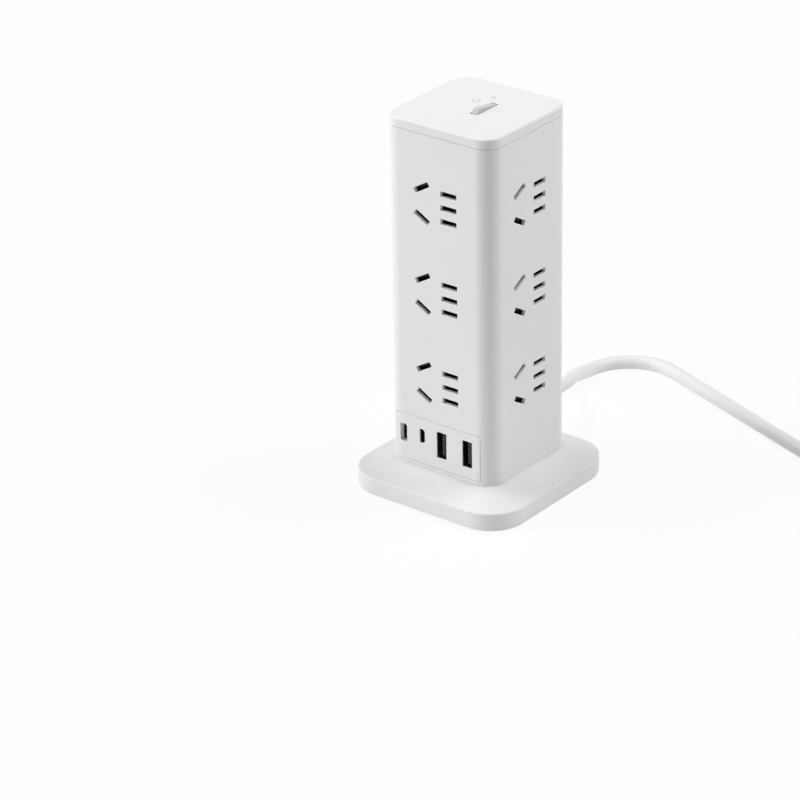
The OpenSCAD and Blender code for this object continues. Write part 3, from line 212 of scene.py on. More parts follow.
# Half-hard brass strip: warm yellow with faint rolling lines up the bars
rolledBrass = workedMetal({
    "name": "rolledBrass", "colour": "#D3B46C", "shade": "#C2A05A", "roughness": 0.32, "stretch": (1, 1, 0.06),
    "flow": 6})
# Nickel-plated folded steel of the port shells: a warm grey mirror gone slightly dull
nickelPlate = workedMetal({
    "name": "nickelPlate", "colour": "#C9C6BF", "shade": "#BDBAB3", "roughness": 0.26, "spread": 0.05,
    "stretch": (1, 0.2, 1), "depth": 0.006, "flow": 4})
# Zinc-plated steel of the screws and springs: pale grey with a fine drawn texture
zincSteel = workedMetal({
    "name": "zincPlatedSteel", "colour": "#BFC2C6", "shade": "#AEB2B8", "roughness": 0.36, "grain": 0.25,
    "flow": 3})
# Bare hot-rolled plate of the weight: dark, streaked mill scale
millSteel = workedMetal({
    "name": "hotRolledSteel", "colour": "#7C7F84", "shade": "#5F6266", "roughness": 0.55, "spread": 0.15,
    "stretch": (0.08, 1, 1), "grain": 0.8, "depth": 0.03, "flow": 12})
# Drawn aluminium of the capacitor cans: bright, with fine rings round the can
drawnAluminium = workedMetal({
    "name": "drawnAluminium", "colour": "#D4D6D9", "shade": "#C6C8CC", "roughness": 0.3, "spread": 0.05,
    "stretch": (0.1, 1, 0.1), "depth": 0.008, "flow": 5})
# Gold-flashed contact strips in the ports: a small warm glint deep in each opening
goldFlash = workedMetal({
    "name": "goldFlashedStrip", "colour": "#E2BE74", "shade": "#D6B068", "roughness": 0.24, "spread": 0.03,
    "stretch": (1, 0.1, 1), "grain": 0.2, "depth": 0.004, "flow": 2})


def solderMaskMaterial(spec):
    material, tree, place = newMaterial("greenSolderMask")
    turned = addNode(tree, "ShaderNodeMapping", {"Vector": place["Object"], "Rotation": (pi / 2, 0, 0)})
    tracks = addNode(tree, "ShaderNodeTexBrick", {
        "Vector": turned, "Scale": 1 / (spec["trackStep"] * mm),
        "Color1": linearColour(spec["mask"]), "Color2": linearColour(spec["maskOverCopper"]),
        "Mortar": linearColour(spec["gapColour"]), "Mortar Size": spec["gap"]})
    weave = addNode(tree, "ShaderNodeTexNoise", {"Vector": place["Object"], "Scale": 1 / (spec["weave"] * mm)})
    finishMaterial(tree, spec, tracks, weave, {"Roughness": spec["roughness"], "IOR": spec["ior"]})
    return material


# Green solder mask over copper tracks and glass weave: an even green gloss with a faint grid
solderMask = solderMaskMaterial({
    "mask": "#1C5A35", "maskOverCopper": "#2B7A49", "gapColour": "#164A2B", "trackStep": 3.0, "gap": 0.06,
    "weave": 0.5, "relief": 0.3, "depth": 0.02, "roughness": 0.35, "ior": 1.5})


def sheathMaterial(spec):
    material, tree, place = newMaterial("extrudedWhitePvc")
    alongCord = addNode(tree, "ShaderNodeMapping", {
        "Vector": place["UV"], "Scale": (spec["dieLines"], spec["lineStretch"], 1.0)})
    dieLines = addNode(tree, "ShaderNodeTexNoise", {"Vector": alongCord, "Scale": 1.0, "Detail": 2.0})
    patternedSurface(tree, place, dieLines, spec, IOR=spec["ior"])
    return material


# Soft white PVC sheath, extruded: faint die lines along the cord and a dull, even skin
cordPvc = sheathMaterial({
    "colour": "#F1F1F0", "shade": "#ECECEB", "roughness": 0.46, "spread": 0.05, "dieLines": 24.0,
    "lineStretch": 0.02, "depth": 0.03, "relief": 0.3, "ior": 1.52, "flow": 60,
    "flowDetail": 3.0})


def hookTapeMaterial(spec):
    material, tree, place = newMaterial("wovenHookTape")
    threads = addNode(tree, "ShaderNodeTexVoronoi", {
        "Vector": place["Object"], "Scale": 1 / (spec["thread"] * mm)})
    tint = addNode(tree, "ShaderNodeMix", {
        0: threads, 6: linearColour(spec["colour"]), 7: linearColour(spec["shade"])}, data_type="RGBA")
    finishMaterial(tree, spec, tint.outputs[2], threads, {
        "Roughness": spec["roughness"], "IOR": spec["ior"], "Sheen Weight": spec["sheen"]})
    return material


# White nylon hook tape of the tie: a dull woven band with a soft sheen
hookTape = hookTapeMaterial({
    "colour": "#E9E9E8", "shade": "#CFCFCE", "thread": 0.7, "depth": 0.15, "relief": 0.6, "roughness": 0.85,
    "ior": 1.53, "sheen": 0.3})
print("materials made")

# Geometry helpers


def meshObject(name, build, material, scale=mm):
    bmesh.ops.transform(build, matrix=Matrix.Scale(scale, 4), verts=build.verts)
    mesh = bpy.data.meshes.new(name)
    build.to_mesh(mesh)
    build.free()
    mesh.materials.append(material)
    item = bpy.data.objects.new(name, mesh)
    bpy.context.scene.collection.objects.link(item)
    return item


def closedObject(name, build, material, crease=35):
    bmesh.ops.recalc_face_normals(build, faces=build.faces)
    if crease:
        markSmooth(build, crease)
    return meshObject(name, build, material)


def markSmooth(build, crease):
    limit = radians(crease)
    for face in build.faces:
        face.smooth = True
    for edge in build.edges:
        edge.smooth = edge.calc_face_angle(pi) < limit


def bakeModifiers(item):
    bpy.context.view_layer.update()
    evaluated = item.evaluated_get(bpy.context.evaluated_depsgraph_get())
    mesh = bpy.data.meshes.new_from_object(evaluated)
    item.modifiers.clear()
    old = item.data
    item.data = mesh
    bpy.data.meshes.remove(old)
    mesh.name = item.name


def evenNormals(item):
    weighted = item.modifiers.new("evenNormals", "WEIGHTED_NORMAL")
    weighted.keep_sharp = True
    bakeModifiers(item)


def finishPiece(item, slot, *replaced, body="tower"):
    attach(item, body)
    if replaced:
        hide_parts(*replaced)


def dress(material, *names):
    for name in names:
        for place in nodes[name].material_slots:
            place.material = material


def circlePoints(radius, count):
    return [(radius * cos(2 * pi * k / count), radius * sin(2 * pi * k / count))
            for k in range(count)]


def lathe(build, profile, segments, turn):
    rings = []
    for radius, height in profile:
        ring = circlePoints(radius, segments if radius else 1)
        rings.append([build.verts.new(turn @ Vector((x, y, height))) for x, y in ring])
    for low, high in zip(rings, rings[1:]):
        for k in range(segments):
            nextK = (k + 1) % segments
            corners = [low[k % len(low)], low[nextK % len(low)], high[nextK % len(high)], high[k % len(high)]]
            unique = [v for i, v in enumerate(corners) if v not in corners[:i]]
            if len(unique) > 2:
                build.faces.new(unique)


def ribbon(build, outlines):
    rings = [[build.verts.new(point) for point in outline] for outline in outlines]
    count = len(rings[0])
    for low, high in zip(rings, rings[1:]):
        for k in range(count):
            build.faces.new([low[k], low[(k + 1) % count], high[(k + 1) % count], high[k]])
    return rings


def prism(build, outlines):
    rings = ribbon(build, outlines)
    build.faces.new(list(reversed(rings[0])))
    build.faces.new(rings[-1])


def hollowPrism(build, outer, inner):
    outerRings = ribbon(build, outer)
    innerRings = ribbon(build, inner)
    count = len(outerRings[0])
    for end in (0, -1):
        for k in range(count):
            nextK = (k + 1) % count
            build.faces.new([outerRings[end][k], outerRings[end][nextK], innerRings[end][nextK],
                             innerRings[end][k]])


def roundedRectangle(width, height, radius, steps):
    points = []
    for quarter in range(4):
        sideX = 1 if quarter in (0, 3) else -1
        sideY = 1 if quarter < 2 else -1
        for k in range(steps + 1):
            angle = pi / 2 * (quarter + k / steps)
            points.append((sideX * (width / 2 - radius) + radius * cos(angle),
                           sideY * (height / 2 - radius) + radius * sin(angle)))
    return points


# Geometry node trees for what repeats


def newGeometryTree(name, sockets):
    tree = bpy.data.node_groups.new(name, "GeometryNodeTree")
    for socketName, kind in {"Geometry": "Geometry", **sockets, "Material": "Material"}.items():
        tree.interface.new_socket(socketName, in_out="INPUT", socket_type="NodeSocket" + kind)
    tree.interface.new_socket("Geometry", in_out="OUTPUT", socket_type="NodeSocketGeometry")
    return tree, addNode(tree, "NodeGroupInput").outputs


def closeTree(tree, given, copies, keepOwn):
    realised = addNode(tree, "GeometryNodeRealizeInstances", {"Geometry": copies})
    result = addNode(tree, "GeometryNodeSetMaterial", {"Geometry": realised, "Material": given["Material"]})
    if keepOwn:
        joined = addNode(tree, "GeometryNodeJoinGeometry", {"Geometry": given["Geometry"]})
        tree.links.new(result.outputs["Geometry"], joined.inputs["Geometry"])
        result = joined
    addNode(tree, "NodeGroupOutput", {"Geometry": result})
    return tree


def copiesOnPointsTree():
    tree, given = newGeometryTree("copiesOnPoints", {"Piece": "Object", "Turn": "Vector"})
    piece = addNode(tree, "GeometryNodeObjectInfo", {"Object": given["Piece"], "As Instance": True})
    turn = addNode(tree, "FunctionNodeEulerToRotation", {"Euler": given["Turn"]})
    copies = addNode(tree, "GeometryNodeInstanceOnPoints", {
        "Points": given["Geometry"], "Instance": piece.outputs["Geometry"], "Rotation": turn})
    return closeTree(tree, given, copies, keepOwn=False)


def reliefRibsTree(steps):
    tree, given = newGeometryTree("reliefRibs", {
        "Ribs": "Int", "Start": "Vector", "Step": "Vector", "Axis Turn": "Vector", "Root Radius": "Float",
        "Tip Radius": "Float", "Rib Half Width": "Float"})
    line = addNode(tree, "GeometryNodeMeshLine", {
        "Count": given["Ribs"], "Start Location": given["Start"], "Offset": given["Step"]})
    circle = addNode(tree, "GeometryNodeCurvePrimitiveCircle", {"Resolution": steps["around"], "Radius": 1.0})
    number = addNode(tree, "GeometryNodeInputIndex")
    last = addNode(tree, "ShaderNodeMath", {0: given["Ribs"], 1: 1.0}, operation="SUBTRACT")
    radius = addNode(tree, "ShaderNodeMapRange", {
        "Value": number, "From Max": last, "To Min": given["Root Radius"], "To Max": given["Tip Radius"]})
    scale = addNode(tree, "ShaderNodeCombineXYZ", {"X": radius, "Y": radius, "Z": radius})
    turn = addNode(tree, "FunctionNodeEulerToRotation", {"Euler": given["Axis Turn"]})
    rings = addNode(tree, "GeometryNodeInstanceOnPoints", {
        "Points": line, "Instance": circle, "Rotation": turn, "Scale": scale})
    wires = addNode(tree, "GeometryNodeRealizeInstances", {"Geometry": rings})
    section = addNode(tree, "GeometryNodeCurvePrimitiveCircle", {
        "Resolution": steps["across"], "Radius": given["Rib Half Width"]})
    ribs = addNode(tree, "GeometryNodeCurveToMesh", {"Curve": wires, "Profile Curve": section})
    smooth = addNode(tree, "GeometryNodeSetShadeSmooth", {"Geometry": ribs})
    return closeTree(tree, given, smooth, keepOwn=True)


def stripRowTree():
    tree, given = newGeometryTree("stripRow", {
        "Strips": "Int", "Start": "Vector", "Step": "Vector", "Strip Size": "Vector"})
    line = addNode(tree, "GeometryNodeMeshLine", {
        "Count": given["Strips"], "Start Location": given["Start"], "Offset": given["Step"]})
    strip = addNode(tree, "GeometryNodeMeshCube", {"Size": given["Strip Size"]})
    copies = addNode(tree, "GeometryNodeInstanceOnPoints", {"Points": line, "Instance": strip})
    return closeTree(tree, given, copies, keepOwn=True)


def applyTree(item, tree, values):
    modifier = item.modifiers.new(tree.name, "NODES")
    modifier.node_group = tree
    for name, value in values.items():
        modifier[tree.interface.items_tree[name].identifier] = value
    bakeModifiers(item)


copiesOnPoints = copiesOnPointsTree()
reliefRibs = reliefRibsTree({"around": 40, "across": 10})
stripRow = stripRowTree()


def repeatPiece(name, template, places, turn, material):
    build = bmesh.new()
    for place in places:
        build.verts.new(place)
    item = meshObject(name, build, material)
    applyTree(item, copiesOnPoints, {"Piece": template, "Turn": turn, "Material": material})
    bpy.data.objects.remove(template)
    return item


print("geometry node trees made")

# Supply cord: route and coil

cord = {
    "diameter": 6.4,
    "exit": (0.0, 51.0, 20.6),
    "route": [
        (-0.4, 63, 20.3), (-1.8, 69, 19.3), (-4.2, 75, 17.6), (-7.6, 81, 15.2), (-11.8, 87, 12.1),
        (-15.3, 93, 9), (-17.9, 99, 6.5), (-19.4, 105, 4.7), (-20, 111.5, 3.5), (-18.8, 119.1, 3.2),
        (-15.3, 125.9, 3.2), (-9.9, 131.3, 3.2), (-3.1, 134.8, 3.2), (4.5, 136, 3.2), (12.1, 134.8, 3.2),
        (26, 129.8, 3.2), (40, 124.7, 3.2), (54, 119.6, 3.2), (68, 114.5, 3.2), (82, 109.4, 3.2),
        (96, 104.3, 3.2), (110, 99.2, 3.2)],
    "coilEntry": (129.7, 92.0),
    "heading": -20.0,
    "coilRadius": 48.0,
    "coilPitch": 6.9,
    "coilTurns": 6.555,
    "flatSides": 6,                # the source's coil is six-sided and lies on a flat side, lifted by coilLift
    "coilLift": 0.7,
    "climb": 0.5,
    "tailLength": 26.0,
    "tailFall": 0.65,
    "plugAxisHeight": 7.5,
    "runStep": 2.5,
    "coilSteps": 60,
    "tailSteps": 12,
    "sides": 18,
}


def smoothStep(t):
    t = min(max(t, 0.0), 1.0)
    return t * t * (3 - 2 * t)


def splinePoints(points, step):
    found = []
    for i in range(len(points) - 1):
        p0, p1 = points[max(i - 1, 0)], points[i]
        p2, p3 = points[i + 1], points[min(i + 2, len(points) - 1)]
        parts = max(1, round((p2 - p1).length / step))
        for k in range(parts):
            t = k / parts
            found.append(0.5 * (2 * p1 + (p2 - p0) * t + (2 * p0 - 5 * p1 + 4 * p2 - p3) * t ** 2
                                + (3 * p1 - p0 - 3 * p2 + p3) * t ** 3))
    found.append(points[-1].copy())
    return found


def cordPath(spec):
    radius = spec["diameter"] / 2
    coilZ = radius * cos(pi / spec["flatSides"]) + spec["coilLift"]
    head = radians(spec["heading"])
    ahead = Vector((cos(head), sin(head), 0))
    entry = Vector((*spec["coilEntry"], coilZ))
    exitPoint = Vector(spec["exit"])
    straight = Vector((0, spec["diameter"], 0))
    run = [exitPoint, exitPoint + straight] + [Vector(p) for p in spec["route"]]
    run += [entry - spec["diameter"] * ahead, entry]
    centre = entry + spec["coilRadius"] * Vector((-ahead.y, ahead.x, 0))
    turns, pitch = spec["coilTurns"], spec["coilPitch"]

    def coilPoint(t):
        angle = head - pi / 2 + 2 * pi * t
        reach = spec["coilRadius"] - pitch * min(t, turns - t)
        rise = pitch * smoothStep((t - turns / 2) / spec["climb"] + 0.5)
        return Vector((centre.x + reach * cos(angle), centre.y + reach * sin(angle), coilZ + rise))

    steps = round(turns * spec["coilSteps"])
    coil = [coilPoint(turns * i / steps) for i in range(1, steps + 1)]
    leave = head + 2 * pi * turns
    tailAhead = Vector((cos(leave), sin(leave), 0))
    tail = []
    for i in range(1, spec["tailSteps"] + 1):
        t = i / spec["tailSteps"]
        drop = (spec["plugAxisHeight"] - coil[-1].z) * smoothStep(t / spec["tailFall"])
        tail.append(coil[-1] + spec["tailLength"] * t * tailAhead + Vector((0, 0, drop)))
    return splinePoints(run, spec["runStep"]) + coil + tail, centre, leave


def sweptTube(name, path, radius, sides, material):
    build = bmesh.new()
    layer = build.loops.layers.uv.new("alongCord")
    side = Vector((1, 0, 0))
    rings, marks, travelled = [], [], 0.0
    for i, point in enumerate(path):
        ahead = (path[min(i + 1, len(path) - 1)] - path[max(i - 1, 0)]).normalized()
        side = (side - side.dot(ahead) * ahead).normalized()
        lift = ahead.cross(side)
        travelled += (point - path[i - 1]).length if i else 0.0
        marks.append(travelled)
        rings.append([build.verts.new(point + radius * (x * side + y * lift)) for x, y in circlePoints(1, sides)])
    for i in range(len(rings) - 1):
        for k in range(sides):
            nextK = (k + 1) % sides
            face = build.faces.new([rings[i][k], rings[i][nextK], rings[i + 1][nextK], rings[i + 1][k]])
            for loop, across, mark in zip(face.loops, (k, k + 1, k + 1, k), (i, i, i + 1, i + 1)):
                loop[layer].uv = (across / sides, marks[mark])
    build.faces.new(list(reversed(rings[0])))
    build.faces.new(rings[-1])
    markSmooth(build, crease=50)
    return meshObject(name, build, material), travelled


cordLine, coilCentre, tailAngle = cordPath(cord)
supplyLead, cordLength = sweptTube("supplyLead", cordLine, cord["diameter"] / 2, cord["sides"], cordPvc)
finishPiece(supplyLead, "cord_pvc", "supply_cord", "cord_coil")
print("supply cord: %.0f mm" % cordLength)

# Strain relief: a core, a round flange outside the shell and ribs along its taper

relief = {
    "wall": 2.5,
    "flangeRadius": 6.2,
    "flangeThickness": 1.5,
    "flangeSoft": 0.5,
    "neckRadius": 4.8,
    "rootRadius": 4.9,
    "tipRadius": 3.9,
    "length": 20.8,
    "ribs": 6,
    "ribHalfWidth": 0.95,
    "ribProud": 0.12,              # how far the last rib stands out of the tip
    "firstRib": 2.2,               # from the flange and from the tip to the outermost ribs
    "lastRib": 3.9,
    "tipBand": 2.0,
    "tipSoft": 0.3,
    "coreInset": 0.75,
    "coreStep": 0.4,               # height of the core's end steps
    "segments": 40,
}


def addRibs(item, spec, start, step, turn, rootRadius, tipRadius):
    applyTree(item, reliefRibs, {
        "Ribs": spec["ribs"], "Start": start * mm, "Step": step * mm, "Axis Turn": turn,
        "Root Radius": (rootRadius - spec["ribHalfWidth"]) * mm,
        "Tip Radius": (tipRadius - spec["ribHalfWidth"]) * mm,
        "Rib Half Width": spec["ribHalfWidth"] * mm, "Material": whitePvc})


def makeRelief(spec, name):
    thick, soft, step, tip = spec["flangeThickness"], spec["flangeSoft"], spec["coreStep"], spec["tipRadius"]
    flange, neck, back = spec["flangeRadius"], spec["neckRadius"], -spec["wall"]
    core, end = spec["rootRadius"] - spec["coreInset"], spec["length"] + thick
    profile = [
        (0, back - thick), (flange, back - thick), (flange, back), (neck, back), (neck, 0), (flange, 0),
        (flange, thick - soft), (flange - soft / 3, thick - soft / 4), (flange - soft, thick),
        (spec["rootRadius"], thick), (spec["rootRadius"] - step / 4, thick + step), (core, thick + 2 * step),
        (tip - spec["coreInset"], end - spec["tipBand"] - step), (tip, end - spec["tipBand"]),
        (tip, end - spec["tipSoft"]), (tip - spec["tipSoft"], end), (0, end)]
    build = bmesh.new()
    outward = Matrix.Translation((0, tower["half"], cord["exit"][2])) @ Matrix.Rotation(-pi / 2, 4, "X")
    lathe(build, profile, spec["segments"], outward)
    item = closedObject(name, build, whitePvc)
    first, last = thick + spec["firstRib"], end - spec["lastRib"]
    addRibs(item, spec, Vector((0, tower["half"] + first, cord["exit"][2])),
            Vector((0, (last - first) / (spec["ribs"] - 1), 0)), (pi / 2, 0, 0), spec["rootRadius"],
            tip + spec["ribProud"])
    return item


strainRelief = makeRelief(relief, "strainRelief")
finishPiece(strainRelief, "cord_pvc", "cord_gland")

# Tie round the coil: a flat band with soft corners

tie = {"angle": 165, "width": 9.0, "thick": 0.6, "corner": 2.2, "steps": 5, "edge": 0.15}


def makeTie(spec):
    turn = Matrix.Translation((coilCentre.x, coilCentre.y, 0)) @ Matrix.Rotation(
        radians(spec["angle"]), 4, "Z")
    back = turn.inverted()
    places = [back @ (v.co / mm) for v in nodes["cord_tie"].data.vertices]
    inner, outer = min(p.x for p in places), max(p.x for p in places)
    bottom, top = min(p.z for p in places), max(p.z for p in places)
    middle = ((inner + outer) / 2, (bottom + top) / 2)

    def band(grow, across):
        outline = roundedRectangle(outer - inner + 2 * grow, top - bottom + 2 * grow, spec["corner"] + grow,
                                   spec["steps"])
        return [turn @ Vector((middle[0] + x, across, middle[1] + z)) for x, z in outline]

    half, edge = spec["width"] / 2, spec["edge"]
    build = bmesh.new()
    hollowPrism(build, [band(-edge, -half), band(0, -half + edge), band(0, half - edge), band(-edge, half)],
                [band(edge - spec["thick"], -half), band(-spec["thick"], -half + edge),
                 band(-spec["thick"], half - edge), band(edge - spec["thick"], half)])
    return closedObject("cordTie", build, hookTape, crease=40)


cordTie = makeTie(tie)
finishPiece(cordTie, "inner_plastic", "cord_tie")

# Plug: a waisted body with grip ribs on its sides and the cord's relief at its back

plug = {
    "reliefLength": 20.0,
    "reliefInBody": 1.5,           # how far the relief goes into the body
    "reliefRadius": 5.9,
    "ribs": 6,
    "ribHalfWidth": 0.95,
    "ribInset": 0.15,
    "firstRib": 3.2,               # from the tip and from the body to the outermost ribs
    "lastRib": 1.6,
    "coreInset": 0.7,
    "coreStep": 0.4,
    "rootStep": 1.0,
    "segments": 36,
    "tipRadius": 3.9,
    "tipSoft": 0.3,
    "tipBand": 1.6,
    "length": 36.0,
    "noseHalf": 12.8,
    "waistHalf": 16.5,
    "waistShare": 0.45,
    "thick": 15.0,
    "edge": 2.2,
    "edgeSteps": 6,
    "endRound": 4.0,
    "stations": 28,
    "gripRibs": 6,
    "gripPitch": 2.2,
    "gripHeight": 8.0,
    "gripWidth": 1.0,
    "gripDepth": 0.9,
    "gripSoft": 0.4,
}


def plugFrame():
    end = cordLine[-1]
    return Matrix.Translation((end.x, end.y, 0)) @ Matrix.Rotation(tailAngle, 4, "Z")


def plugHalf(share, spec):
    rise = smoothStep(share / spec["waistShare"]) if share < spec["waistShare"] else smoothStep(
        (1 - share) / (1 - spec["waistShare"]))
    return spec["noseHalf"] + (spec["waistHalf"] - spec["noseHalf"]) * rise


def makePlugBody(spec):
    build = bmesh.new()
    turn, ends = plugFrame(), spec["endRound"]
    outlines = []
    for i in range(spec["stations"] + 1):
        share = i / spec["stations"]
        eased = 0.5 - 0.5 * cos(pi * share)
        x = spec["reliefLength"] + spec["length"] * eased
        nearEnd = min(eased, 1 - eased) * spec["length"]
        shrink = ends - sqrt(max(0.0, ends ** 2 - (ends - min(nearEnd, ends)) ** 2))
        half = plugHalf(eased, spec) - shrink
        thick = spec["thick"] - shrink / 2
        outlines.append([turn @ Vector((x, y, spec["thick"] / 2 + z)) for y, z in roundedRectangle(
            2 * half, thick, spec["edge"], spec["edgeSteps"])])
    prism(build, outlines)
    item = closedObject("plugBody", build, whitePvc)
    evenNormals(item)
    return item


def makePlugRelief(spec):
    build = bmesh.new()
    turn = plugFrame() @ Matrix.Translation((0, 0, cord["plugAxisHeight"])) @ Matrix.Rotation(pi / 2, 4, "Y")
    inset, end, tip = spec["coreInset"], spec["reliefLength"] + spec["reliefInBody"], spec["tipRadius"]
    soft, band, root = spec["tipSoft"], spec["tipBand"], spec["reliefRadius"]
    lathe(build, [(0, 0), (tip - soft, 0), (tip, soft), (tip, band), (tip - inset, band + spec["coreStep"]),
                  (root - inset, end - spec["rootStep"]), (root, end), (0, end)], spec["segments"], turn)
    item = closedObject("plugRelief", build, whitePvc)
    axis = (turn.to_3x3() @ Vector((0, 0, 1))).normalized()
    first, last = spec["firstRib"], spec["reliefLength"] - spec["lastRib"]
    addRibs(item, spec, turn @ Vector((0, 0, first)), axis * ((last - first) / (spec["ribs"] - 1)),
            axis.to_track_quat("Z", "Y").to_euler(), tip + spec["ribInset"], root - spec["ribInset"])
    return item


def gripTemplate(spec):
    build = bmesh.new()
    half, soft = spec["gripHeight"] / 2, spec["gripSoft"]
    outline = roundedRectangle(spec["gripWidth"], spec["gripDepth"], soft, 4)
    prism(build, [[Vector((x * s, y * s, z)) for x, y in outline] for s, z in (
        (soft, -half), (1, -half + soft), (1, half - soft), (soft, half))])
    return closedObject("gripTemplate", build, whitePvc, crease=60)


def makeGrips(spec):
    turn = plugFrame()
    places = []
    for sideSign in (-1, 1):
        for k in range(spec["gripRibs"]):
            share = spec["waistShare"] + (k - (spec["gripRibs"] - 1) / 2) * spec["gripPitch"] / spec["length"]
            x = spec["reliefLength"] + spec["length"] * share
            places.append(turn @ Vector((x, sideSign * plugHalf(share, spec), spec["thick"] / 2)))
    return repeatPiece("plugGrips", gripTemplate(spec), places, (0, 0, tailAngle), whitePvc)


plugBody = makePlugBody(plug)
plugRelief = makePlugRelief(plug)
plugGrips = makeGrips(plug)
for plugPiece in (plugBody, plugRelief, plugGrips):
    finishPiece(plugPiece, "plug_plastic", "plug_body")
dress(rolledBrass, "plug_pins")
print("cord, relief, tie and plug made")

# Shells, cap, panel, base cover and rocker: copies of the frame's pieces with softened edges

soft = {
    "slotEdge": 0.25,              # rounding of the slots' outer edges, and then of the other pieces' edges
    "panelEdge": 0.3,
    "capEdge": 0.2,
    "rockerEdge": 0.25,
    "segments": 3,
    "sharp": 40,                   # an edge that turns by more than this many degrees is rounded
    "crease": 30,
    "mergeReach": 0.002,
    "flatAngle": 0.3,
    "shells": ("front_shell", "rear_shell"),
    "wall": 2.5,
    "rimBend": 0.5,                # radians by which a slot's inner rim turns at least
    "rimChamfer": 0.85,            # lead-out behind each slot, so the dark inside shows closer to the skin
    "slotsFrom": 45,
    "slotsTo": 155,
    "rimAt": 171.45,               # the shells' top rims, raised a little towards the cap
    "rimLift": 0.16,
}


def skinDistance(point, half, radius):
    x, y = max(abs(point.x) - half + radius, 0.0), max(abs(point.y) - half + radius, 0.0)
    if x > 0 and y > 0:
        return abs(hypot(x, y) - radius)
    return abs(max(abs(point.x), abs(point.y)) - half)


def onTowerSkin(point):
    return skinDistance(point / mm, tower["half"], tower["cornerRadius"]) < tower["skinReach"]


def onCapSkin(point):
    return onTowerSkin(point) or abs(point.z / mm - tower["capTop"]) < tower["skinReach"]


def insideWall(point, spec):
    clear = skinDistance(point / mm, tower["half"] - spec["wall"], tower["cornerRadius"] - spec["wall"])
    return clear < tower["skinReach"] and spec["slotsFrom"] < point.z / mm < spec["slotsTo"]


def bevelEdges(build, edges, width, segments):
    bmesh.ops.bevel(build, geom=edges, offset=width * mm, segments=segments, profile=0.5, affect="EDGES",
                    clamp_overlap=False)


def openShell(build, spec):
    rims = [edge for edge in build.edges if edge.is_manifold and edge.calc_face_angle(0) > spec["rimBend"]
            and all(insideWall(corner.co, spec) for corner in edge.verts)
            and any(onTowerSkin(corner.co) for face in edge.link_faces for corner in face.verts)]
    bevelEdges(build, rims, spec["rimChamfer"], 1)
    for corner in build.verts:
        if corner.co.z / mm > spec["rimAt"]:
            corner.co.z += spec["rimLift"] * mm


def softCopy(name, nodeName, material, chosen, width, spec):
    build = bmesh.new()
    build.from_mesh(nodes[nodeName].data)
    bmesh.ops.remove_doubles(build, verts=build.verts, dist=spec["mergeReach"] * mm)
    bmesh.ops.dissolve_limit(build, angle_limit=radians(spec["flatAngle"]), verts=build.verts,
                             edges=build.edges)
    if nodeName in spec["shells"]:
        openShell(build, spec)
    limit = radians(spec["sharp"])
    edges = [edge for edge in build.edges if edge.is_manifold and edge.calc_face_angle(0) > limit
             and all(chosen(corner.co) for corner in edge.verts)]
    bevelEdges(build, edges, width, spec["segments"])
    markSmooth(build, spec["crease"])
    item = meshObject(name, build, material, 1.0)
    evenNormals(item)
    return item


for pieceName, softNode, chosenEdges, edgeWidth in (
        ("frontShell", "front_shell", onTowerSkin, soft["slotEdge"]),
        ("rearShell", "rear_shell", onTowerSkin, soft["slotEdge"]),
        ("usbPanel", "usb_panel", onTowerSkin, soft["panelEdge"]),
        ("topCap", "top_cap", onCapSkin, soft["capEdge"]),
        ("baseCover", "base_cover", lambda point: False, 0)):      # its soft edges come from the frame
    finishPiece(softCopy(pieceName, softNode, satinAbs, chosenEdges, edgeWidth, soft), "shell_plastic", softNode)
rockerPaddle = softCopy("rockerPaddle", "rocker", greyAbs, lambda point: True, soft["rockerEdge"], soft)
finishPiece(rockerPaddle, "rocker_plastic", "rocker", body="rocker")
print("shells, cap, panel, base and rocker softened")

# Power mark on the cap: a ring open at the top with a bar in the opening

powerMark = {"centre": (-5.05, 6.6), "radius": 1.8, "stroke": 0.45, "gap": 50, "barFrom": 0.45, "bar": 2.0,
             "height": 0.03, "steps": 36}


def makePowerMark(spec):
    build = bmesh.new()
    place = Vector((*spec["centre"], tower["capTop"]))
    half, height = spec["stroke"] / 2, spec["height"]
    sections = []
    for k in range(spec["steps"] + 1):
        angle = radians(90 + spec["gap"] + (360 - 2 * spec["gap"]) * k / spec["steps"])
        out = Vector((cos(angle), sin(angle), 0))
        sections.append([place + out * (spec["radius"] + across) + Vector((0, 0, z)) for across, z in (
            (-half, 0), (half, 0), (half, height), (-half, height))])
    prism(build, sections)
    start, end = spec["barFrom"], spec["barFrom"] + spec["bar"]
    prism(build, [[place + Vector((x, y, z)) for x, y in (
        (-half, start), (half, start), (half, end), (-half, end))] for z in (0, height)])
    return closedObject("powerMark", build, greyInk, crease=0)


capMark = makePowerMark(powerMark)
finishPiece(capMark, "shell_plastic")

# Lens of the status lamp: a low dome on the light pipe's head

statusLens = {
    "centre": (-0.9, 13.85),
    "profile": [(0, -0.3), (0.42, -0.3), (0.42, 0.03), (0.34, 0.08), (0.18, 0.11), (0, 0.12)],
    "segments": 24,
}


def makeLens(spec):
    build = bmesh.new()
    lathe(build, spec["profile"], spec["segments"], Matrix.Translation((*spec["centre"], tower["capTop"])))
    return closedObject("statusLens", build, smokedEpoxy, crease=50)


lampLens = makeLens(statusLens)
finishPiece(lampLens, "pipe_plastic")

# Ports: nickel shells with a black insulator, its tongue and a row of contact strips

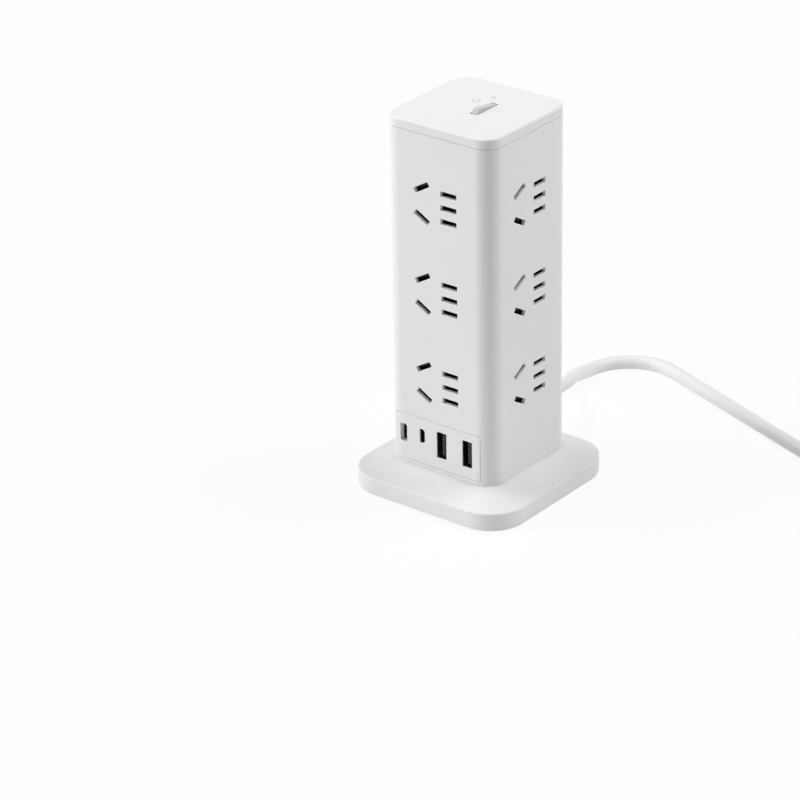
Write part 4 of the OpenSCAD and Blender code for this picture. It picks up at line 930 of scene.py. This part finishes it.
port = {
    "shellBack": 14.0,
    "wall": 0.35,
    "insulatorFrom": 8.0,
    "insulatorGap": 0.03,
    "noseLength": 0.4,
    "noseScale": (0.7, 0.96),
    "tongueRound": 0.3,            # of the tongue's thickness
    "tongueGap": 0.02,
    "stripInset": 0.8,
    "steps": 5,
}
portKinds = {
    "c": {"width": 4.2, "height": 9.1, "radius": 1.35, "front": 1.9, "collar": 0.65, "tongueThick": 0.7,
          "tongueHeight": 6.7, "tongueFrom": 2.8, "strips": 12, "pitch": 0.5, "strip": (0.06, 2.2, 0.25)},
    "m": {"width": 3.3, "height": 7.3, "chamfer": 0.9, "front": 0.55, "tongueThick": 0.6, "tongueHeight": 3.7,
          "tongueFrom": 2.0, "strips": 5, "pitch": 0.65, "strip": (0.06, 2.4, 0.35)},
    "a": {"width": 5.8, "height": 13.2, "radius": 0.5, "front": 0.55, "tongueThick": 1.9, "tongueHeight": 11.1,
          "tongueFrom": 1.8, "strips": 4, "pitch": 2.3, "strip": (0.1, 6.0, 1.0)},
}


def portOutline(kind, grow):
    if "chamfer" in kind:
        w, h, cut = kind["width"] / 2 + grow, kind["height"] / 2 + grow, kind["chamfer"]
        return [(-w, -h), (w - cut, -h), (w, -h + cut), (w, h - cut), (w - cut, h), (-w, h)]
    return roundedRectangle(kind["width"] + 2 * grow, kind["height"] + 2 * grow, max(kind["radius"] + grow, 0.2),
                            port["steps"])


def atDepth(outline, centre, depth):
    return [Vector((centre[0] + u, depth - tower["half"], centre[1] + v)) for u, v in outline]


def portSleeve(name, kind, centre, depths, material):
    build = bmesh.new()
    outer, inner = portOutline(kind, 0), portOutline(kind, -port["wall"])
    hollowPrism(build, [atDepth(outer, centre, d) for d in depths], [atDepth(inner, centre, d) for d in depths])
    return closedObject(name, build, material)


def makePort(name, kind, centre, nodeName):
    front = kind["front"] + kind.get("collar", 0)
    sleeve = portSleeve(name + "Shell", kind, centre, (front, port["shellBack"]), nickelPlate)
    if "collar" in kind:               # the panel's white wall goes on round the mouth of the port
        collar = portSleeve(name + "Collar", kind, centre, (kind["front"], front), satinAbs)
        finishPiece(collar, "shell_plastic", nodeName)
    block = bmesh.new()
    core = portOutline(kind, -port["wall"] - port["insulatorGap"])
    prism(block, [atDepth(core, centre, d) for d in (port["insulatorFrom"], port["shellBack"] - port["noseLength"])])
    thick, tip, (narrow, low) = kind["tongueThick"], kind["tongueFrom"], port["noseScale"]
    tongue = roundedRectangle(thick, kind["tongueHeight"], thick * port["tongueRound"], 3)
    nose = [(u * narrow, v * low) for u, v in tongue]
    prism(block, [atDepth(nose, centre, tip), atDepth(tongue, centre, tip + port["noseLength"]),
                  atDepth(tongue, centre, port["insulatorFrom"] - port["tongueGap"])])
    insulator = closedObject(name + "Insulator", block, blackPbt)
    size = kind["strip"]
    first = Vector((centre[0] + thick / 2, tip + port["stripInset"] + size[1] / 2 - tower["half"],
                    centre[1] - kind["pitch"] * (kind["strips"] - 1) / 2))
    applyTree(insulator, stripRow, {
        "Strips": kind["strips"], "Start": first * mm, "Step": Vector((0, 0, kind["pitch"])) * mm,
        "Strip Size": Vector(size) * mm, "Material": goldFlash})
    finishPiece(sleeve, "port_steel", nodeName)
    finishPiece(insulator, "port_steel", nodeName)


def nodeCentre(nodeName):
    low, high = nodeBox(nodeName)
    return (low.x + high.x) / 2, (low.z + high.z) / 2


makePort("portC", portKinds["c"], nodeCentre("usb_c_port"), "usb_c_port")
makePort("portMicro", portKinds["m"], nodeCentre("usb_micro_port"), "usb_micro_port")
pairLow, pairHigh = nodeBox("usb_a_ports")
pairInset, pairHeight = portKinds["a"]["width"] / 2, nodeCentre("usb_a_ports")[1]
makePort("portA1", portKinds["a"], (pairLow.x + pairInset, pairHeight), "usb_a_ports")
makePort("portA2", portKinds["a"], (pairHigh.x - pairInset, pairHeight), "usb_a_ports")
print("ports made")

# Feet and the screws that are seen from below

foot = {
    "profile": [(0, 0.15), (1.5, 0.15), (1.7, 0), (2.9, 0), (3.1, 0.25), (3.6, 0.25), (3.8, 0), (4.8, 0),
                (5.0, 0.25), (5.5, 0.25), (5.7, 0), (6.2, 0), (6.5, 0.3), (6.5, 1.3), (0, 1.3)],
    "segments": 44,
    "radius": 6.5,
}
screw = {"headRadius": 2.2, "headThick": 0.6, "chamfer": 0.2, "shaftRadius": 1.05, "segments": 32,
         "crossHalf": 1.2, "crossStroke": 0.24, "crossDepth": 0.45, "crossTaper": 0.8}


def footTemplate(spec):
    build = bmesh.new()
    lathe(build, spec["profile"], spec["segments"], Matrix.Identity(4))
    return closedObject("footTemplate", build, darkRubber, crease=30)


def screwTemplate(spec, length):
    build = bmesh.new()
    reach, half, small = spec["crossHalf"], spec["crossStroke"], spec["crossTaper"]
    head, chamfer, thick, shaft = spec["headRadius"], spec["chamfer"], spec["headThick"], spec["shaftRadius"]
    rings = []
    for radius, height in ((head - chamfer, 0), (head, -chamfer), (head, -thick), (shaft, -thick),
                           (shaft, -thick - length)):
        rings.append([(x, y, height) for x, y in circlePoints(radius, spec["segments"])])
    body = ribbon(build, rings)
    build.faces.new(body[-1])
    cross = [(half, half), (half, reach), (-half, reach), (-half, half), (-reach, half), (-reach, -half),
             (-half, -half), (-half, -reach), (half, -reach), (half, -half), (reach, -half), (reach, half)]
    sink = ribbon(build, [[(x, y, 0) for x, y in cross],
                          [(x * small, y * small, -spec["crossDepth"]) for x, y in cross]])
    build.faces.new(sink[-1])
    rim = [build.edges.get((loop[k], loop[(k + 1) % len(loop)])) for loop in (body[0], sink[0])
           for k in range(len(loop))]
    bmesh.ops.triangle_fill(build, use_beauty=True, use_dissolve=False, edges=rim)
    return closedObject("screwTemplate", build, zincSteel)


def pairPlaces(nodeName, inset, height):
    low, high = nodeBox(nodeName)
    return [(x, y, height) for x in (low.x + inset, high.x - inset) for y in (low.y + inset, high.y - inset)]


rubberFeet = repeatPiece("rubberFeet", footTemplate(foot), pairPlaces("rubber_feet", foot["radius"], 0),
                         (0, 0, 0), darkRubber)
finishPiece(rubberFeet, "foot_rubber", "rubber_feet")
screwLow, screwHigh = nodeBox("base_screws")
baseScrews = repeatPiece(
    "baseScrews", screwTemplate(screw, screwHigh.z - screwLow.z - screw["headThick"]),
    pairPlaces("base_screws", screw["headRadius"], screwLow.z), (pi, 0, 0), zincSteel)
finishPiece(baseScrews, "screw_steel", "base_screws")
print("feet and screws made")

# Shutter springs: coiled round wire, one in each spring's place

faces = ("front", "right", "left")
rows = (1, 2, 3)
spring = {"radius": 1.5, "wireRadius": 0.2, "turns": 5, "steps": 22, "sides": 8}


def makeSpring(name, nodeName, spec):
    low, high = nodeBox(nodeName)
    middle, wire = (low + high) / 2, spec["wireRadius"]
    count = spec["turns"] * spec["steps"]
    path = []
    for i in range(count + 1):
        angle = 2 * pi * i / spec["steps"]
        path.append(Vector((middle.x + spec["radius"] * cos(angle), middle.y + spec["radius"] * sin(angle),
                            low.z + wire + (high.z - low.z - 2 * wire) * smoothStep(i / count))))
    coil = sweptTube(name, path, wire, spec["sides"], zincSteel)[0]
    finishPiece(coil, "screw_steel", nodeName)
    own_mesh(coil)


for face in faces:
    for row in rows:
        makeSpring("%sSpring%d" % (face, row), "%s_spring_%d" % (face, row),
                   spring)
print("springs made")

# Materials of the frame's pieces that stay as they are

dress(ivoryNylon, "cord_clamp")
dress(zincSteel, "inner_screws", "tower_screws")
dress(rolledBrass, "switch_terminals")
dress(blackPbt, "switch_body", "usb_transformer")
dress(frostedPc, "light_pipe")
dress(smokedEpoxy, "indicator_lamp")
dress(millSteel, "base_weight")
dress(drawnAluminium, "usb_capacitors")
dress(solderMask, "usb_board")
dress(whitePvc, "cord_sheath_end")
dress(satinAbs, "base_plate")
for face in faces:
    # the shutters and carriers take the near-black painted shade of the slots' insides
    dress(blackNylon, face + "_carrier", *["%s_shutter_%d" % (face, row) for row in rows])
    dress(rolledBrass, *[face + pole for pole in ("_neutral_bar", "_live_bar", "_earth_bar")])

# Floor, light and background

studio = {
    "floorHalf": 4.0,
    "floorDrop": 0.02,             # mm under the feet, so the floor and they don't share a plane
    "floorColour": "#FAFAFA",
    "backdropShare": 0.9,          # how much of the floor's white comes straight from the backdrop
    "fadeFrom": 0.35,              # from here to fadeTo, in m, the floor's shading gives way to plain white
    "fadeTo": 1.1,
    "ambient": 0.08,
    "target": (0, 0, 0.09),
    "lampDistance": 2.0,
    "lampSize": 0.9,
    "lamps": {
        "keyLeft": {"azimuth": -70, "elevation": 65, "power": 15.3},
        "lowLeft": {"azimuth": -45, "elevation": 15, "power": 18.9},
        "backHigh": {"azimuth": 130, "elevation": 65, "power": 16.9},
        "backLow": {"azimuth": 130, "elevation": 15, "power": 8.9},
    },
}


def directView(tree):
    path = addNode(tree, "ShaderNodeLightPath").outputs
    either = addNode(tree, "ShaderNodeMath", {0: path["Is Camera Ray"], 1: path["Is Glossy Ray"]},
                     operation="MAXIMUM")
    return addNode(tree, "ShaderNodeMath", {0: either, 1: path["Is Transmission Ray"]}, operation="MAXIMUM")


def makeFloor(spec):
    material, tree, place = newMaterial("paleFloor")
    distance = addNode(tree, "ShaderNodeVectorMath", {0: place["Object"]}, operation="LENGTH")
    fade = addNode(tree, "ShaderNodeMapRange", {
        "Value": distance.outputs["Value"], "From Min": spec["fadeFrom"], "From Max": spec["fadeTo"],
        "To Min": spec["backdropShare"], "To Max": 1.0})
    share = addNode(tree, "ShaderNodeMath", {0: directView(tree), 1: fade}, operation="MULTIPLY")
    matt = addNode(tree, "ShaderNodeBsdfDiffuse", {"Color": linearColour(spec["floorColour"])})
    white = addNode(tree, "ShaderNodeEmission", {"Color": (1, 1, 1, 1), "Strength": 1.0})
    mixed = addNode(tree, "ShaderNodeMixShader", {0: share, 1: matt, 2: white})
    side = addNode(tree, "ShaderNodeNewGeometry")
    clear = addNode(tree, "ShaderNodeBsdfTransparent")
    # Clear from below, so that the underside can be seen
    shown = addNode(tree, "ShaderNodeMixShader", {0: side.outputs["Backfacing"], 1: mixed, 2: clear})
    addNode(tree, "ShaderNodeOutputMaterial", {"Surface": shown})
    build = bmesh.new()
    half = spec["floorHalf"] / mm
    build.faces.new([build.verts.new((x * half, y * half, -spec["floorDrop"]))
                     for x, y in ((-1, -1), (1, -1), (1, 1), (-1, 1))])
    meshObject("paleFloor", build, material)


def makeWorld(spec):
    world = bpy.data.worlds.new("softStudio")
    world.use_nodes = True
    tree = world.node_tree
    tree.nodes.clear()
    ambient = addNode(tree, "ShaderNodeBackground", {"Color": (1, 1, 1, 1), "Strength": spec["ambient"]})
    white = addNode(tree, "ShaderNodeBackground", {"Color": (1, 1, 1, 1), "Strength": 1.0})
    mixed = addNode(tree, "ShaderNodeMixShader", {0: directView(tree), 1: ambient, 2: white})
    addNode(tree, "ShaderNodeOutputWorld", {"Surface": mixed})
    bpy.context.scene.world = world


def makeLamp(name, lamp, spec):
    data = bpy.data.lights.new(name, "AREA")
    data.size = spec["lampSize"]
    data.energy = lamp["power"]
    azimuth, elevation = radians(lamp["azimuth"]), radians(lamp["elevation"])
    toward = Vector((sin(azimuth) * cos(elevation), -cos(azimuth) * cos(elevation),
                     sin(elevation)))
    item = bpy.data.objects.new(name, data)
    item.location = Vector(spec["target"]) + toward * spec["lampDistance"]
    item.rotation_euler = toward.to_track_quat("Z", "Y").to_euler()
    bpy.context.scene.collection.objects.link(item)


makeFloor(studio)
makeWorld(studio)
for lampName, lampSpec in studio["lamps"].items():
    makeLamp(lampName, lampSpec, studio)
print("floor, world and lamps made")

bpy.context.scene.view_settings.view_transform = "Standard"
